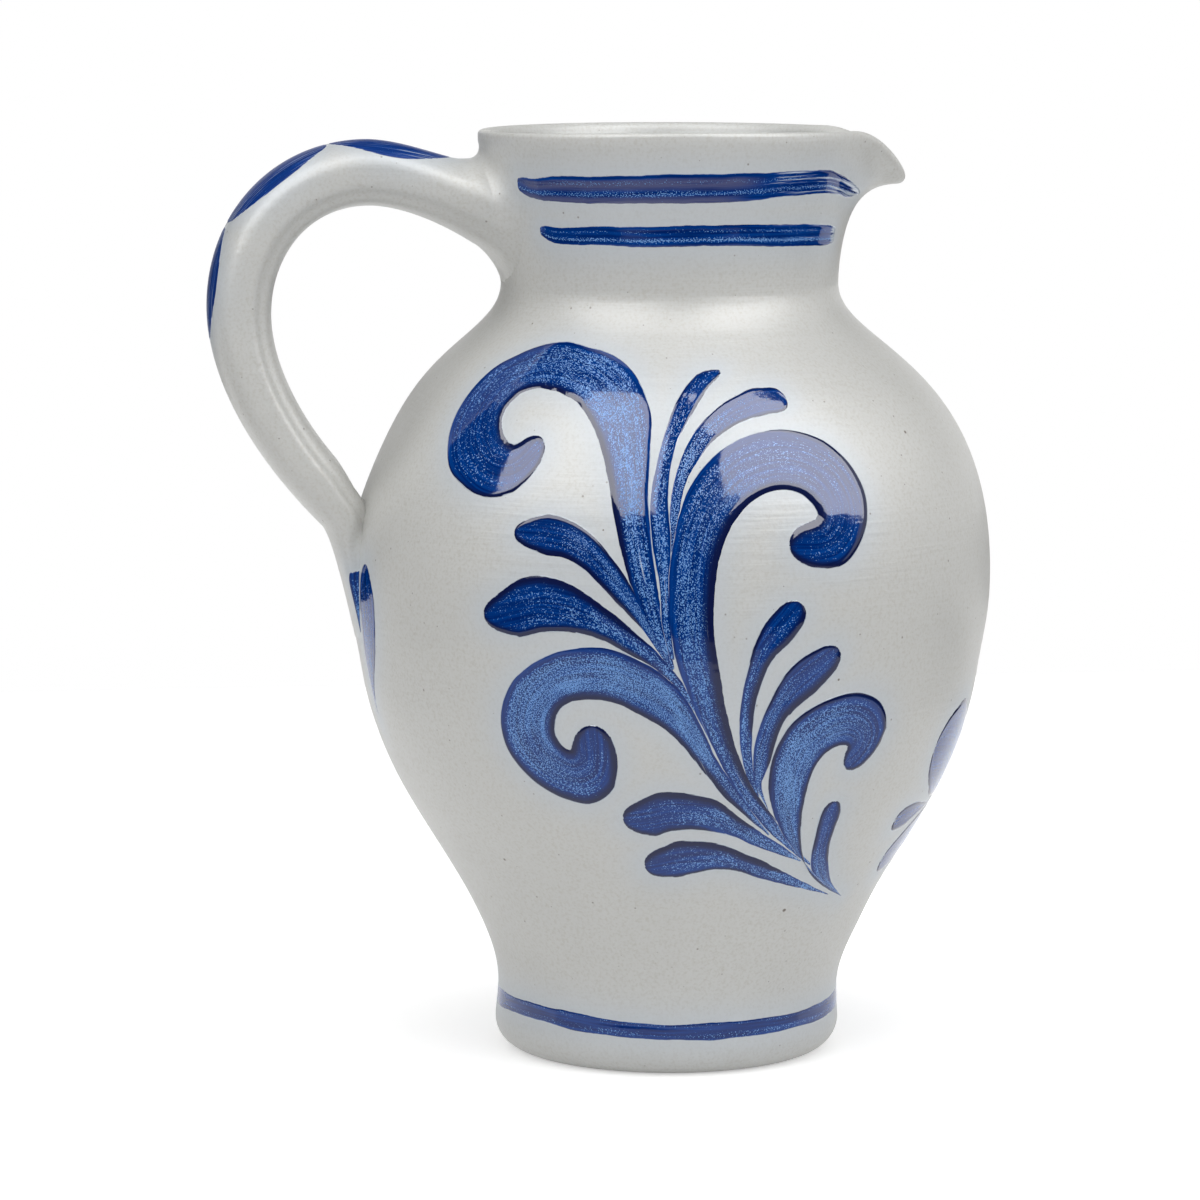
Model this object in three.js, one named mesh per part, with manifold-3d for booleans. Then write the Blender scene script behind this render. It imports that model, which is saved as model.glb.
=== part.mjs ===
// Cider jug of grey salt-glazed stoneware: a thrown body with a pulled spout, a pulled strap handle
// luted to neck and belly, and brush strokes of cobalt slip that stand a little proud of the clay.
// Millimetres, +Z up. The origin lies on the jug's axis in the flat underside of the foot, the spout
// points to +X and the handle to -X. The painted side in front is -Y.
import * as THREE from 'three';
import { mergeVertices } from 'three/addons/utils/BufferGeometryUtils.js';
import Module from 'manifold-3d';

const wasm = await Module();
wasm.setup();

// Thrown body: heights and outside radii
const jugHeight = 220;
const footRadius = 41.8;
const footRounding = 5;
const waistHeight = 14;
const waistRadius = 41.2;
const bellyHeight = 115;
const bellyRadius = 76.6;
const neckDrop = 36;
const neckRadius = 40;
const rimRadius = 45;
const wall = 5;
const floorThickness = 8;
const floorRounding = 7;

// How far the wall keeps its direction above and below each of those heights
const waistRise = 26;
const bellyFall = 53.5;
const bellyRise = 52;
const neckFall = 15.5;
const neckRise = 9;
const lipFall = 12.4;
const lipFlare = 1.3;

// Spout pulled out of the rim
const spoutReach = 11;
const spoutSink = 10;
const spoutDepth = 30;
const spoutHalfAngle = THREE.MathUtils.degToRad(32);
const spoutCurl = 2.2;

// Strap handle: its outer outline, measured from the neck and from the belly, and its section
const handleDrop = 6.6;
const handleInset = 3;
const hollowReach = 7;
const crownReach = 27.6;
const crownRise = 4.8;
const handleReach = 65.6;
const handleSide = 34.7;
const bendAboveBelly = 12.2;
const bendLift = 7.4;
const tailBelowBelly = 6;
const tailLift = 2.2;
const strapThickness = 16;
const strapLowThickness = 13;
const strapWidth = 28;
const tailWidth = 21;
const sectionRounding = 0.8;
const rootFlareThickness = 7;
const rootFlareWidth = 12;
const rootFlareLength = 20;
const grooveDepth = 0.9;
const grooveTurn = 0.5;
const grooveSpread = 0.35;

// How far that outline keeps its direction before and after each of its marks
const rootAfter = 2;
const hollowBefore = 3;
const hollowAfter = 5;
const crownBefore = 8;
const crownAfter = 23;
const sideBefore = 23;
const sideAfter = 20;
const bendBefore = 16;
const bendAfter = 3.6;
const bendSlope = THREE.MathUtils.degToRad(45);
const tailBefore = 6.5;

// Shares of the strap's length between which it gets thinner, and past which it narrows to its tail
const thinsFrom = 0.5;
const thinsTo = 0.85;
const narrowsFrom = 0.8;

// Luting slip in the two joints of the handle, and cobalt slip on the surface
const seatGap = 0.3;
const lutingThickness = 0.6;
const slipGap = 0.45;
const slipThickness = 0.5;
const slipRim = slipThickness / 3;
const strokeSpacing = 0.5;

// Bands of cobalt slip: heights, widths, and the angle that they stop short of the handle
const upperBandDrop = 14.5;
const upperBandWidth = 6;
const upperBandStop = THREE.MathUtils.degToRad(27);
const lowerBandDrop = 22.5;
const lowerBandWidth = 5;
const lowerBandStop = THREE.MathUtils.degToRad(36);
const footBandHeight = 11;
const footBandWidth = 4.2;

// Leaves on the handle's outer face: shares of the strap's length, and the angle each reaches round it
const handleLeaves = {
  crown_leaf: { from: 0.09, to: 0.29, halfAngle: THREE.MathUtils.degToRad(42) },
  shoulder_leaf: { from: 0.3, to: 0.47, halfAngle: THREE.MathUtils.degToRad(42) },
  side_leaf: { from: 0.48, to: 0.66, halfAngle: THREE.MathUtils.degToRad(38) },
};
const leafTipAngle = THREE.MathUtils.degToRad(4);
const leafFullness = 0.8;

// The ornament is drawn flat, in real sizes: u runs round the belly towards the spout, v is the height
// on a jug whose waist, belly and neck are at these heights.
const gridWaist = 14;
const gridBelly = 115;
const gridNeck = 184;

// Facets
const aroundSegments = 50;
const handleRings = 32;
const handleFacets = 16;
const bandSteps = 40;
const strokeSteps = 2;
const leafSteps = 10;
const lipSteps = 5;
const floorSteps = 2;
const wallSteps = { foot: 3, stem: 1, swell: 8, shoulder: 9, collar: 5 };
const headTurns = [80, 55, 28];

const neckHeight = jugHeight - neckDrop;
const lipHeight = jugHeight - (wall / 2) * (1 + lipFlare / lipFall);
const betweenJoints = (bellyHeight + neckHeight) / 2;
const lutingSeat = 2 * seatGap + lutingThickness;
const towardsSpout = Math.PI / 2;
const towardsHandle = -Math.PI / 2;
const gridRadius = bellyRadius + slipGap;

// Meshes and solids

function indexedGeometry(points, triangles) {
  const geometry = new THREE.BufferGeometry();
  const coordinates = points.flatMap((p) => [p.x, p.y, p.z]);
  geometry.setAttribute('position', new THREE.Float32BufferAttribute(coordinates, 3));
  geometry.setIndex(triangles);
  geometry.computeVertexNormals();
  return geometry;
}

function turnedOutwards(points, triangles) {
  let volume = 0;
  for (let i = 0; i < triangles.length; i += 3) {
    const [a, b, c] = triangles.slice(i, i + 3).map((k) => points[k]);
    volume += a.dot(new THREE.Vector3().crossVectors(b, c));
  }
  return volume > 0 ? triangles : triangles.slice().reverse();
}

// A closed skin over rings of equally many points, with a fan over the first and the last ring
function loft(rings) {
  const count = rings[0].length;
  const points = rings.flat();
  const triangles = [];
  for (let i = 0; i < rings.length - 1; i += 1) {
    for (let j = 0; j < count; j += 1) {
      const a = i * count + j;
      const b = i * count + (j + 1) % count;
      triangles.push(a, b, b + count, a, b + count, a + count);
    }
  }
  for (const [ring, start, turn] of [[rings[0], 0, 1], [rings.at(-1), points.length - count, 0]]) {
    const middle = ring.reduce((sum, p) => sum.add(p), new THREE.Vector3()).divideScalar(count);
    const centre = points.push(middle) - 1;
    for (let j = 0; j < count; j += 1) {
      const pair = [start + j, start + (j + 1) % count];
      triangles.push(centre, pair[turn], pair[1 - turn]);
    }
  }
  return indexedGeometry(points, turnedOutwards(points, triangles));
}

function toSolid(geometry) {
  const bare = geometry.clone();
  bare.deleteAttribute('normal');
  bare.deleteAttribute('uv');
  const welded = mergeVertices(bare);
  const vertProperties = new Float32Array(welded.attributes.position.array);
  const triVerts = new Uint32Array(welded.index.array);
  return new wasm.Manifold(new wasm.Mesh({ numProp: 3, vertProperties, triVerts }));
}

function fromSolid(solid) {
  const { vertProperties, triVerts } = solid.getMesh();
  const geometry = new THREE.BufferGeometry();
  geometry.setAttribute('position', new THREE.BufferAttribute(vertProperties, 3));
  geometry.setIndex(new THREE.BufferAttribute(triVerts, 1));
  geometry.computeVertexNormals();
  return geometry;
}

// A lathe profile of [radius, height] pairs, turned about the jug's axis
function turned(profile, segments = aroundSegments) {
  const points = profile.map(([radius, height]) => new THREE.Vector2(radius, height));
  return new THREE.LatheGeometry(points, segments).rotateX(Math.PI / 2);
}

// Outside of the thrown wall, from the rounded foot to the lip

function bezier(...pairs) {
  return new THREE.CubicBezierCurve(...pairs.map(([radius, height]) => new THREE.Vector2(radius, height)));
}

function wallOutside() {
  const foot = new THREE.EllipseCurve(
    footRadius - footRounding, footRounding, footRounding, footRounding, -Math.PI / 2, 0);
  const stem = new THREE.LineCurve(foot.getPoint(1), new THREE.Vector2(waistRadius, waistHeight));
  const swell = bezier([waistRadius, waistHeight], [waistRadius, waistHeight + waistRise],
    [bellyRadius, bellyHeight - bellyFall], [bellyRadius, bellyHeight]);
  const shoulder = bezier([bellyRadius, bellyHeight], [bellyRadius, bellyHeight + bellyRise],
    [neckRadius, neckHeight - neckFall], [neckRadius, neckHeight]);
  const collar = bezier([neckRadius, neckHeight], [neckRadius, neckHeight + neckRise],
    [rimRadius - lipFlare, lipHeight - lipFall], [rimRadius, lipHeight]);
  const points = [foot.getPoint(0)];
  for (const [name, curve] of Object.entries({ foot, stem, swell, shoulder, collar })) {
    points.push(...curve.getPoints(wallSteps[name]).slice(1));
  }
  return points;
}

const outside = wallOutside();

// Radius of a rising outline at a height
function radiusAt(points, height) {
  const above = points.findIndex((p) => p.y >= height);
  if (above < 0) return points.at(-1).x;
  if (above === 0) return points[0].x;
  const [low, high] = [points[above - 1], points[above]];
  return THREE.MathUtils.mapLinear(height, low.y, high.y, low.x, high.x);
}

function outerRadius(height) {
  return radiusAt(outside, height);
}

// The spout is the rim drawn outwards and down within its half angle, more so towards the lip
function pulledWall(radius, height, angle) {
  const offAxis = Math.abs(Math.atan2(Math.sin(angle - towardsSpout), Math.cos(angle - towardsSpout)));
  const sideways = THREE.MathUtils.smoothstep(1 - offAxis / spoutHalfAngle, 0, 1);
  const upwards = Math.max(0, (height - jugHeight + spoutDepth) / spoutDepth) ** spoutCurl;
  const pull = sideways * upwards;
  return new THREE.Vector2(radius + spoutReach * pull, height - spoutSink * pull);
}

// Angles count from the middle of the painted side, -Y, towards the spout
function aroundAxis(radius, height, angle) {
  return new THREE.Vector3(radius * Math.sin(angle), -radius * Math.cos(angle), height);
}

// Thrown body: the same wall thickness behind every point of the outside, a round lip, a flat floor

function wallProfile(angle) {
  const outer = outside.map((p) => pulledWall(p.x, p.y, angle));
  const last = outer.length - 1;
  const along = outer.map((p, k) => {
    const [before, after] = [outer[Math.max(k - 1, 0)], outer[Math.min(k + 1, last)]];
    return after.clone().sub(before).normalize();
  });
  const inner = outer.map((p, k) => new THREE.Vector2(p.x - wall * along[k].y, p.y + wall * along[k].x));
  const lipCentre = outer[last].clone().lerp(inner[last], 0.5);
  const lip = [];
  for (let k = 1; k < lipSteps; k += 1) {
    const turn = (k * Math.PI) / lipSteps;
    const across = outer[last].clone().sub(lipCentre).multiplyScalar(Math.cos(turn));
    lip.push(lipCentre.clone().add(across).addScaledVector(along[last], (wall / 2) * Math.sin(turn)));
  }
  const cornerHeight = floorThickness + floorRounding;
  const hollow = inner.filter((p) => p.y > cornerHeight).reverse();
  const cornerRadius = radiusAt(inner, cornerHeight);
  const floor = [];
  for (let k = 0; k <= floorSteps; k += 1) {
    const turn = (k * Math.PI) / (2 * floorSteps);
    const [inwards, downwards] = [floorRounding * (1 - Math.cos(turn)), floorRounding * Math.sin(turn)];
    floor.push(new THREE.Vector2(cornerRadius - inwards, cornerHeight - downwards));
  }
  return [...outer, ...lip, ...hollow, ...floor];
}

function thrownBody() {
  const angles = Array.from({ length: aroundSegments }, (_, j) => (j * 2 * Math.PI) / aroundSegments);
  const columns = angles.map(wallProfile);
  const rings = columns[0].map((_, k) => columns.map((profile, j) => {
    return aroundAxis(profile[k].x, profile[k].y, angles[j]);
  }));
  return loft(rings);
}

// The outside of the body, moved out by a clearance, as a filled turned solid
function bodyWithClearance(clearance) {
  const top = jugHeight + 2 * wall;
  const profile = outside.map((p) => [p.x + clearance, p.y]);
  const [first, last] = [profile[0], profile.at(-1)];
  return turned([[0, -clearance], [first[0], -clearance], ...profile, [last[0], top], [0, top]]);
}

// Pulled handle: rings between its outer outline and its thickness, in the plane of the jug's axis

function handleOutline() {
  const hollowHeight = jugHeight - handleDrop;
  const neckSide = outerRadius(hollowHeight);
  const bendHeight = bellyHeight + bendAboveBelly;
  const tailHeight = bellyHeight - tailBelowBelly;
  const start = [neckSide - handleInset, hollowHeight + handleInset];
  const hollow = [neckSide + hollowReach, hollowHeight];
  const crown = [neckSide + crownReach, hollowHeight + crownRise];
  const side = [neckSide + handleReach, hollowHeight - handleSide];
  const bend = [outerRadius(bendHeight) + bendLift, bendHeight];
  const tail = [outerRadius(tailHeight) + tailLift, tailHeight];
  const path = new THREE.CurvePath();
  const alongBend = (reach) => [bend[0] + reach * Math.cos(bendSlope), bend[1] + reach * Math.sin(bendSlope)];
  path.add(bezier(start, [start[0] + rootAfter, hollow[1]], [hollow[0] - hollowBefore, hollow[1]], hollow));
  path.add(bezier(hollow, [hollow[0] + hollowAfter, hollow[1]], [crown[0] - crownBefore, crown[1]], crown));
  path.add(bezier(crown, [crown[0] + crownAfter, crown[1]], [side[0], side[1] + sideBefore], side));
  path.add(bezier(side, [side[0], side[1] - sideAfter], alongBend(bendBefore), bend));
  path.add(bezier(bend, alongBend(-bendAfter), [tail[0], tail[1] + tailBefore], tail));
  return path;
}

const outline = handleOutline();
const outlineLength = outline.getLength();

// Centre, inward direction, width and thickness of the strap at a share of its length
function strapStation(share) {
  const edge = outline.getPoint(share);
  const along = outline.getTangent(share);
  const inward = new THREE.Vector2(along.y, -along.x);
  const flare = Math.max(0, 1 - (share * outlineLength) / rootFlareLength) ** 2;
  const low = THREE.MathUtils.smoothstep(share, thinsFrom, thinsTo);
  const thickness = THREE.MathUtils.lerp(strapThickness, strapLowThickness, low) + rootFlareThickness * flare;
  const narrow = THREE.MathUtils.smoothstep(share, narrowsFrom, 1);
  const width = THREE.MathUtils.lerp(strapWidth, tailWidth, narrow) + rootFlareWidth * flare;
  return { centre: edge.clone().addScaledVector(inward, thickness / 2), inward, width, thickness };
}

// A point of the strap's skin: a rounded section with a drawn groove beside each inner edge
function strapPoint(share, turn, lift = 0) {
  const { centre, inward, width, thickness } = strapStation(share);
  const across = Math.sign(Math.cos(turn)) * Math.abs(Math.cos(turn)) ** sectionRounding;
  const outwards = Math.sign(Math.sin(turn)) * Math.abs(Math.sin(turn)) ** sectionRounding;
  const groove = grooveDepth * Math.max(0, 1 - Math.abs(Math.sin(turn) + grooveTurn) / grooveSpread);
  const y = across * (width / 2 + lift - groove);
  const place = centre.clone().addScaledVector(inward, -outwards * (thickness / 2 + lift - groove));
  return new THREE.Vector3(-place.x, y, place.y);
}

function handleBlank() {
  const turns = Array.from({ length: handleFacets }, (_, j) => (j * 2 * Math.PI) / handleFacets);
  const shares = Array.from({ length: handleRings + 1 }, (_, i) => i / handleRings);
  return toSolid(loft(shares.map((share) => turns.map((turn) => strapPoint(share, turn)))));
}

const blank = handleBlank();

function pulledHandle() {
  return fromSolid(blank.subtract(toSolid(bodyWithClearance(lutingSeat))));
}

// Luting slip: the thin layer between body and handle, within the handle's own section
function lutingSlip(lowest, highest) {
  const heights = outside.map((p) => p.y).filter((y) => y > lowest && y < highest);
  const levels = [lowest, ...heights, highest];
  const outer = levels.map((y) => [outerRadius(y) + seatGap + lutingThickness, y]);
  const inner = levels.map((y) => [outerRadius(y) + seatGap, y]).reverse();
  const shell = toSolid(turned([...outer, ...inner, outer[0]]));
  return fromSolid(blank.intersect(shell));
}

// Brush strokes: each is drawn by rungs [u, v, u, v] across it, from the round head to the thin tail

function heightOnJug(v) {
  return v > gridBelly
    ? THREE.MathUtils.mapLinear(v, gridBelly, gridNeck, bellyHeight, neckHeight)
    : THREE.MathUtils.mapLinear(v, gridBelly, gridWaist, bellyHeight, waistHeight);
}

// A point lifted off the outside of the body along its normal
function liftedPoint(place, lift) {
  const [angle, height] = place;
  const at = (y) => pulledWall(outerRadius(y), y, angle);
  const step = 1;
  const slope = at(height + step).sub(at(height - step)).normalize();
  const base = at(height);
  return aroundAxis(base.x + lift * slope.y, base.y - lift * slope.x, angle);
}

// Cross lines of a stroke, from the tip of its head to its tail
function crossLines(rungs, steps) {
  const edge = (k) => rungs.map((rung) => new THREE.Vector3(rung[k], rung[k + 1], 0));
  const leftCurve = new THREE.CatmullRomCurve3(edge(0), false, 'centripetal');
  const rightCurve = new THREE.CatmullRomCurve3(edge(2), false, 'centripetal');
  const shares = Array.from({ length: steps + 1 }, (_, i) => i / steps);
  const pairs = shares.map((share) => [leftCurve.getPoint(share), rightCurve.getPoint(share)]);
  return [...roundHead(pairs), ...pairs];
}

// The slip itself: thickest along its middle and thin at both edges
function slipLayer(lines, place) {
  const put = (p, lift) => liftedPoint(place(p.x, p.y), slipGap + lift);
  return loft(lines.map(([left, right]) => {
    const middle = left.clone().lerp(right, 0.5);
    return [put(left, slipRim), put(middle, slipThickness), put(right, slipRim), put(middle, 0)];
  }));
}

// The room that a stroke takes up with the light line left round it, to cut later strokes back
function strokeRoom(lines, place) {
  const put = (p, lift) => liftedPoint(place(p.x, p.y), lift);
  const high = 4 * (slipGap + slipThickness);
  return loft(lines.map(([left, right]) => {
    const aside = left.clone().sub(right).setLength(strokeSpacing);
    const [wideLeft, wideRight] = [left.clone().add(aside), right.clone().sub(aside)];
    return [put(wideLeft, high), put(wideRight, high), put(wideRight, -high), put(wideLeft, -high)];
  }));
}

// Narrowing cross lines that close a stroke with a half ellipse beyond its first rung
function roundHead(pairs) {
  const [left, right] = pairs[0];
  const middle = left.clone().lerp(right, 0.5);
  const next = pairs[1][0].clone().lerp(pairs[1][1], 0.5);
  const reach = left.distanceTo(right) / 2;
  const outwards = middle.clone().sub(next).setLength(reach);
  return headTurns.map((degrees) => {
    const turn = THREE.MathUtils.degToRad(degrees);
    const centre = middle.clone().addScaledVector(outwards, Math.sin(turn));
    return [left, right].map((p) => p.clone().sub(middle).multiplyScalar(Math.cos(turn)).add(centre));
  });
}

// The scrolling spray of the painted side: four curled strokes and nine leaves round one stem, in the
// order in which a later stroke stops short of an earlier one
const sprayStrokes = {
  stem_curl: [[20.6, 133.9, 21.2, 124.7], [23.4, 134.4, 26, 123.3], [25.2, 135.4, 32.5, 124.7],
    [25.3, 136.3, 38.2, 131.2], [24.3, 138.2, 40, 139], [22, 140.2, 38, 145.4],
    [18.4, 141.4, 32, 151.4], [14.5, 141.3, 22, 154.4], [10.5, 139.9, 11.3, 153.8],
    [7, 137.4, 3, 150.8], [4, 133.8, -3.5, 145.9], [1.9, 129.5, -7.5, 139.5], [0.5, 124.5, -10, 130],
    [-0.3, 117, -11, 120], [-0.2, 109, -10.4, 110.5], [1.2, 101.5, -8.6, 102], [3, 92.5, -5.2, 93],
    [6, 82.8, -0.3, 83.5], [11, 73.8, 6, 73], [19.5, 64.6, 16, 63], [30, 56.2, 29, 55]],
  upper_curl: [[-49.2, 152.9, -43.6, 147], [-51.6, 151.1, -47.5, 141.8], [-55, 151.6, -54.5, 139.1],
    [-57.7, 153.9, -63.5, 140.3], [-59.4, 156.8, -73, 146.4], [-59.2, 159.2, -78, 157],
    [-57.5, 161.4, -76.5, 165.2], [-54, 162.6, -68, 170], [-49, 162.8, -55, 172.8],
    [-42, 161.6, -42, 172.1], [-36.3, 159.4, -30, 170.3], [-31.3, 155, -21.5, 166.3],
    [-28.2, 150.3, -16.2, 159.5], [-25.6, 143.5, -15.4, 150], [-23.8, 136, -15.6, 141],
    [-21.6, 127.5, -14.6, 131], [-19, 119.5, -13.4, 122], [-15.6, 111.5, -11.8, 112.5]],
  lower_curl: [[-34.4, 84.6, -23.7, 84.2], [-34.6, 82.9, -22.9, 79.5], [-35.2, 82.3, -24.6, 73.2],
    [-36.2, 82.5, -30.5, 69.2], [-37.3, 83.5, -38.6, 70], [-38.1, 85, -47, 74.3],
    [-38.5, 87, -52.6, 81.5], [-38, 89.6, -53, 89.5], [-36.6, 91.8, -49.5, 96.8],
    [-33.6, 93.6, -42, 102.9], [-29, 94.3, -33, 106.2], [-23.5, 93.6, -25, 106.5],
    [-18, 91.2, -19, 104.6], [-12.5, 88.1, -13, 101.2], [-8.2, 84.4, -7.2, 95.6],
    [-4.2, 79.8, -3, 88.4], [-0.4, 75.4, 1.5, 80], [3.4, 71.1, 6.5, 72.6]],
  small_curl: [[36.3, 81, 40.8, 75.5], [36.2, 81.4, 45.5, 77.9], [36, 81.7, 48.3, 84.5],
    [35.2, 81.9, 45.8, 90.6], [33.6, 81.8, 38.5, 94.2], [31.4, 81.2, 31, 94], [29.4, 79.8, 24.5, 91.8],
    [27.8, 77.4, 19.2, 88.1], [26.9, 74.3, 16, 82.5], [26.6, 70.5, 15.8, 75], [27.1, 65, 19.5, 68],
    [28.8, 60, 24, 62], [32, 54.6, 29.5, 57], [38, 49.2, 36.5, 51], [47, 45.2, 46.5, 46.3],
    [58.5, 41.9, 58.3, 42.2]],
  first_top_leaf: [[5.2, 167.6, 5.8, 166.2], [-0.4, 167.1, 1.5, 163.9], [-5, 164.6, -2.1, 160.6],
    [-9, 160.3, -5.6, 156.6], [-11.5, 154.8, -8.3, 152.9], [-13.2, 148.5, -10.4, 147.2],
    [-14.3, 140, -11, 140], [-13.4, 129, -11.6, 129]],
  second_top_leaf: [[22.6, 163, 22.4, 159.3], [16, 163.3, 16.4, 157.8], [8.5, 161.9, 9.5, 156.4],
    [2, 159.1, 4, 154.3], [-3.4, 155.3, -0.6, 151.2], [-7.4, 150, -4.2, 147.2],
    [-9.8, 144, -6.8, 142.4]],
  first_left_leaf: [[-46, 134.4, -46.2, 129], [-40, 136.2, -40, 127], [-34, 135, -35, 126.5],
    [-28.6, 132, -30, 123.8], [-23.8, 127.2, -25.8, 119.9], [-20, 122, -21.6, 115.7],
    [-16.6, 115.6, -17.2, 111.2]],
  second_left_leaf: [[-53, 116.6, -52.4, 109.2], [-47.5, 120.7, -47, 108], [-40, 122.4, -40, 109.4],
    [-33, 120.6, -33, 109.8], [-26, 116.4, -26.4, 108.4], [-19.5, 111.4, -20.4, 105.2],
    [-13, 105.4, -14, 101.8]],
  first_right_leaf: [[15.4, 116.2, 21.6, 111.9], [11.5, 112.4, 17.5, 107.1], [9, 107, 14, 103.8],
    [7.4, 100.6, 11.6, 98.9], [6.3, 92, 9.9, 91], [7, 83.5, 9.8, 83.5]],
  second_right_leaf: [[26.5, 106.2, 30.6, 100.4], [21.5, 104, 26, 95.8], [17, 100.2, 21, 92.2],
    [13.6, 94, 17.4, 88.4], [11.2, 88, 15.9, 83.6], [10.6, 81, 14.6, 78]],
  first_low_leaf: [[-20.8, 69.2, -20.6, 62.5], [-15.2, 72, -15.5, 61.2], [-9.5, 72.6, -9.8, 62.6],
    [-3, 71.8, -3.5, 62.9], [3, 69.9, 2.5, 62.2], [8.6, 66, 8, 60.8], [15, 62.3, 14, 58.3],
    [24, 57.4, 23, 55]],
  second_low_leaf: [[-16, 57.2, -15.5, 50.9], [-9.5, 59.9, -9, 50.6], [-3, 60.2, -2.8, 51.6],
    [4, 59.3, 4.4, 52.5], [11, 57, 11.2, 51.7], [19, 54.1, 19, 49.6], [28, 50.6, 28, 47.5],
    [38, 47.1, 37.5, 45.5]],
  third_low_leaf: [[32.4, 65.6, 40.2, 65.4], [33.2, 60.8, 40, 60], [34.2, 55.6, 41.2, 55.6],
    [36.8, 51, 44.2, 51.1], [42.6, 48.6, 47.6, 47.6]],
};

// Half of the sprig under the spout, drawn from the line below the spout: a round petal, a slim leaf and
// a low petal, whose tails meet at that line
const sprigStrokes = {
  round_petal: [[-40.4, 85, -42, 67.8], [-33, 87.2, -35, 64], [-24, 82, -26, 62.6], [-15, 71, -16.4, 62],
    [-7, 64, -7.4, 61.6], [-0.6, 61.6, -0.6, 60.9]],
  slim_leaf: [[-51.4, 63, -51.8, 56.8], [-45, 63.6, -45, 57.4], [-37, 62.6, -37, 59.4],
    [-25, 61.3, -25, 60.3], [-13, 60.9, -13, 60.3]],
  low_petal: [[-43.2, 53.6, -42.4, 45.4], [-38, 57, -35, 46], [-30, 58.8, -26, 50], [-20, 59.8, -17, 55.6],
    [-9, 60.4, -8.4, 58.8], [-0.6, 60.3, -0.6, 59.6]],
};

// The leaf brushed on the belly beside the handle, drawn from the edge of the handle's tail
const tailStrokes = {
  tail_leaf: [[3.4, 117.5, 9.4, 118], [3, 112, 12, 111], [4.4, 104, 12.4, 103], [6.4, 95, 12, 94],
    [9.4, 86, 11, 86]],
};

// Angles at which each motif lies on the near side
const onFront = (u) => u / gridRadius;
const underSpout = (u) => towardsSpout + u / gridRadius;
const besideTail = (u) => towardsHandle + (tailWidth / 2 + u) / gridRadius;

// The strokes of one motif, each cut back from the ones before it
function addStrokes(side, strokes, angleOf) {
  const place = (u, v) => [angleOf(u), heightOnJug(v)];
  const rooms = [];
  for (const [name, rungs] of Object.entries(strokes)) {
    const lines = crossLines(rungs, strokeSteps * (rungs.length - 1));
    const layer = rooms.reduce((left, room) => left.subtract(room), toSolid(slipLayer(lines, place)));
    addPiece(`${side}_${name}`, largestBody(fromSolid(layer)), cobalt);
    rooms.push(toSolid(strokeRoom(lines, place)));
  }
}

// A motif on the near side, and its mirror image on the far side
function addOnBothSides(strokes, nearAngle) {
  addStrokes('near', strokes, nearAngle);
  addStrokes('far', strokes, (u) => 2 * towardsSpout - nearAngle(u));
}

// A tail that runs on past the stroke it meets is dropped there: only the largest body stays
function largestBody(geometry) {
  const triangles = Array.from(geometry.index.array);
  const bodyOf = Array.from({ length: geometry.attributes.position.count }, (_, k) => k);
  const find = (k) => (bodyOf[k] === k ? k : find(bodyOf[k]));
  const bodies = new Map();
  for (let i = 0; i < triangles.length; i += 3) {
    const first = find(triangles[i]);
    bodyOf[find(triangles[i + 1])] = first;
    bodyOf[find(triangles[i + 2])] = first;
  }
  for (let i = 0; i < triangles.length; i += 3) {
    const body = find(triangles[i]);
    bodies.set(body, [...(bodies.get(body) ?? []), ...triangles.slice(i, i + 3)]);
  }
  geometry.setIndex([...bodies.values()].sort((a, b) => b.length - a.length)[0]);
  return geometry;
}

// A band runs from one side of the handle round under the spout to the other side
function neckBand(drop, width, stop) {
  const middle = jugHeight - drop;
  const [low, high] = [middle - width / 2, middle + width / 2];
  const first = gridRadius * (towardsHandle + stop);
  const last = gridRadius * 2 * towardsSpout - first;
  const lines = crossLines([[first, high, first, low], [last, high, last, low]], bandSteps);
  return slipLayer(lines, (u, height) => [u / gridRadius, height]);
}

function footBand() {
  const [low, high] = [footBandHeight - footBandWidth / 2, footBandHeight + footBandWidth / 2];
  const at = (height, lift) => [outerRadius(height) + slipGap + lift, height];
  const [lowEdge, highEdge] = [at(low, slipRim), at(high, slipRim)];
  return turned([lowEdge, at(footBandHeight, slipThickness), highEdge, at(footBandHeight, 0), lowEdge]);
}

// A leaf along the handle's outer face, pointed at both ends
function handleLeaf({ from, to, halfAngle }) {
  const shares = Array.from({ length: leafSteps + 1 }, (_, i) => i / leafSteps);
  return loft(shares.map((step) => {
    const share = THREE.MathUtils.lerp(from, to, step);
    const spread = leafTipAngle + halfAngle * Math.sin(Math.PI * step) ** leafFullness;
    const put = (side, lift) => strapPoint(share, Math.PI / 2 + side * spread, slipGap + lift);
    const top = [0.5, 0, -0.5].map((side) => put(side, slipThickness));
    const under = [-0.5, 0, 0.5].map((side) => put(side, 0));
    return [put(1, slipRim), ...top, put(-1, slipRim), ...under];
  }));
}

// Assembly

const stoneware = { color: 0xc9cac4, roughness: 0.45, metalness: 0 };
const luting = { color: 0xb9b8ae, roughness: 0.8, metalness: 0 };
const cobalt = { color: 0x1f3f94, roughness: 0.2, metalness: 0 };

const jug = new THREE.Group();

function addPiece(name, geometry, finish) {
  const mesh = new THREE.Mesh(geometry, new THREE.MeshStandardMaterial(finish));
  mesh.name = name;
  jug.add(mesh);
}

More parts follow.
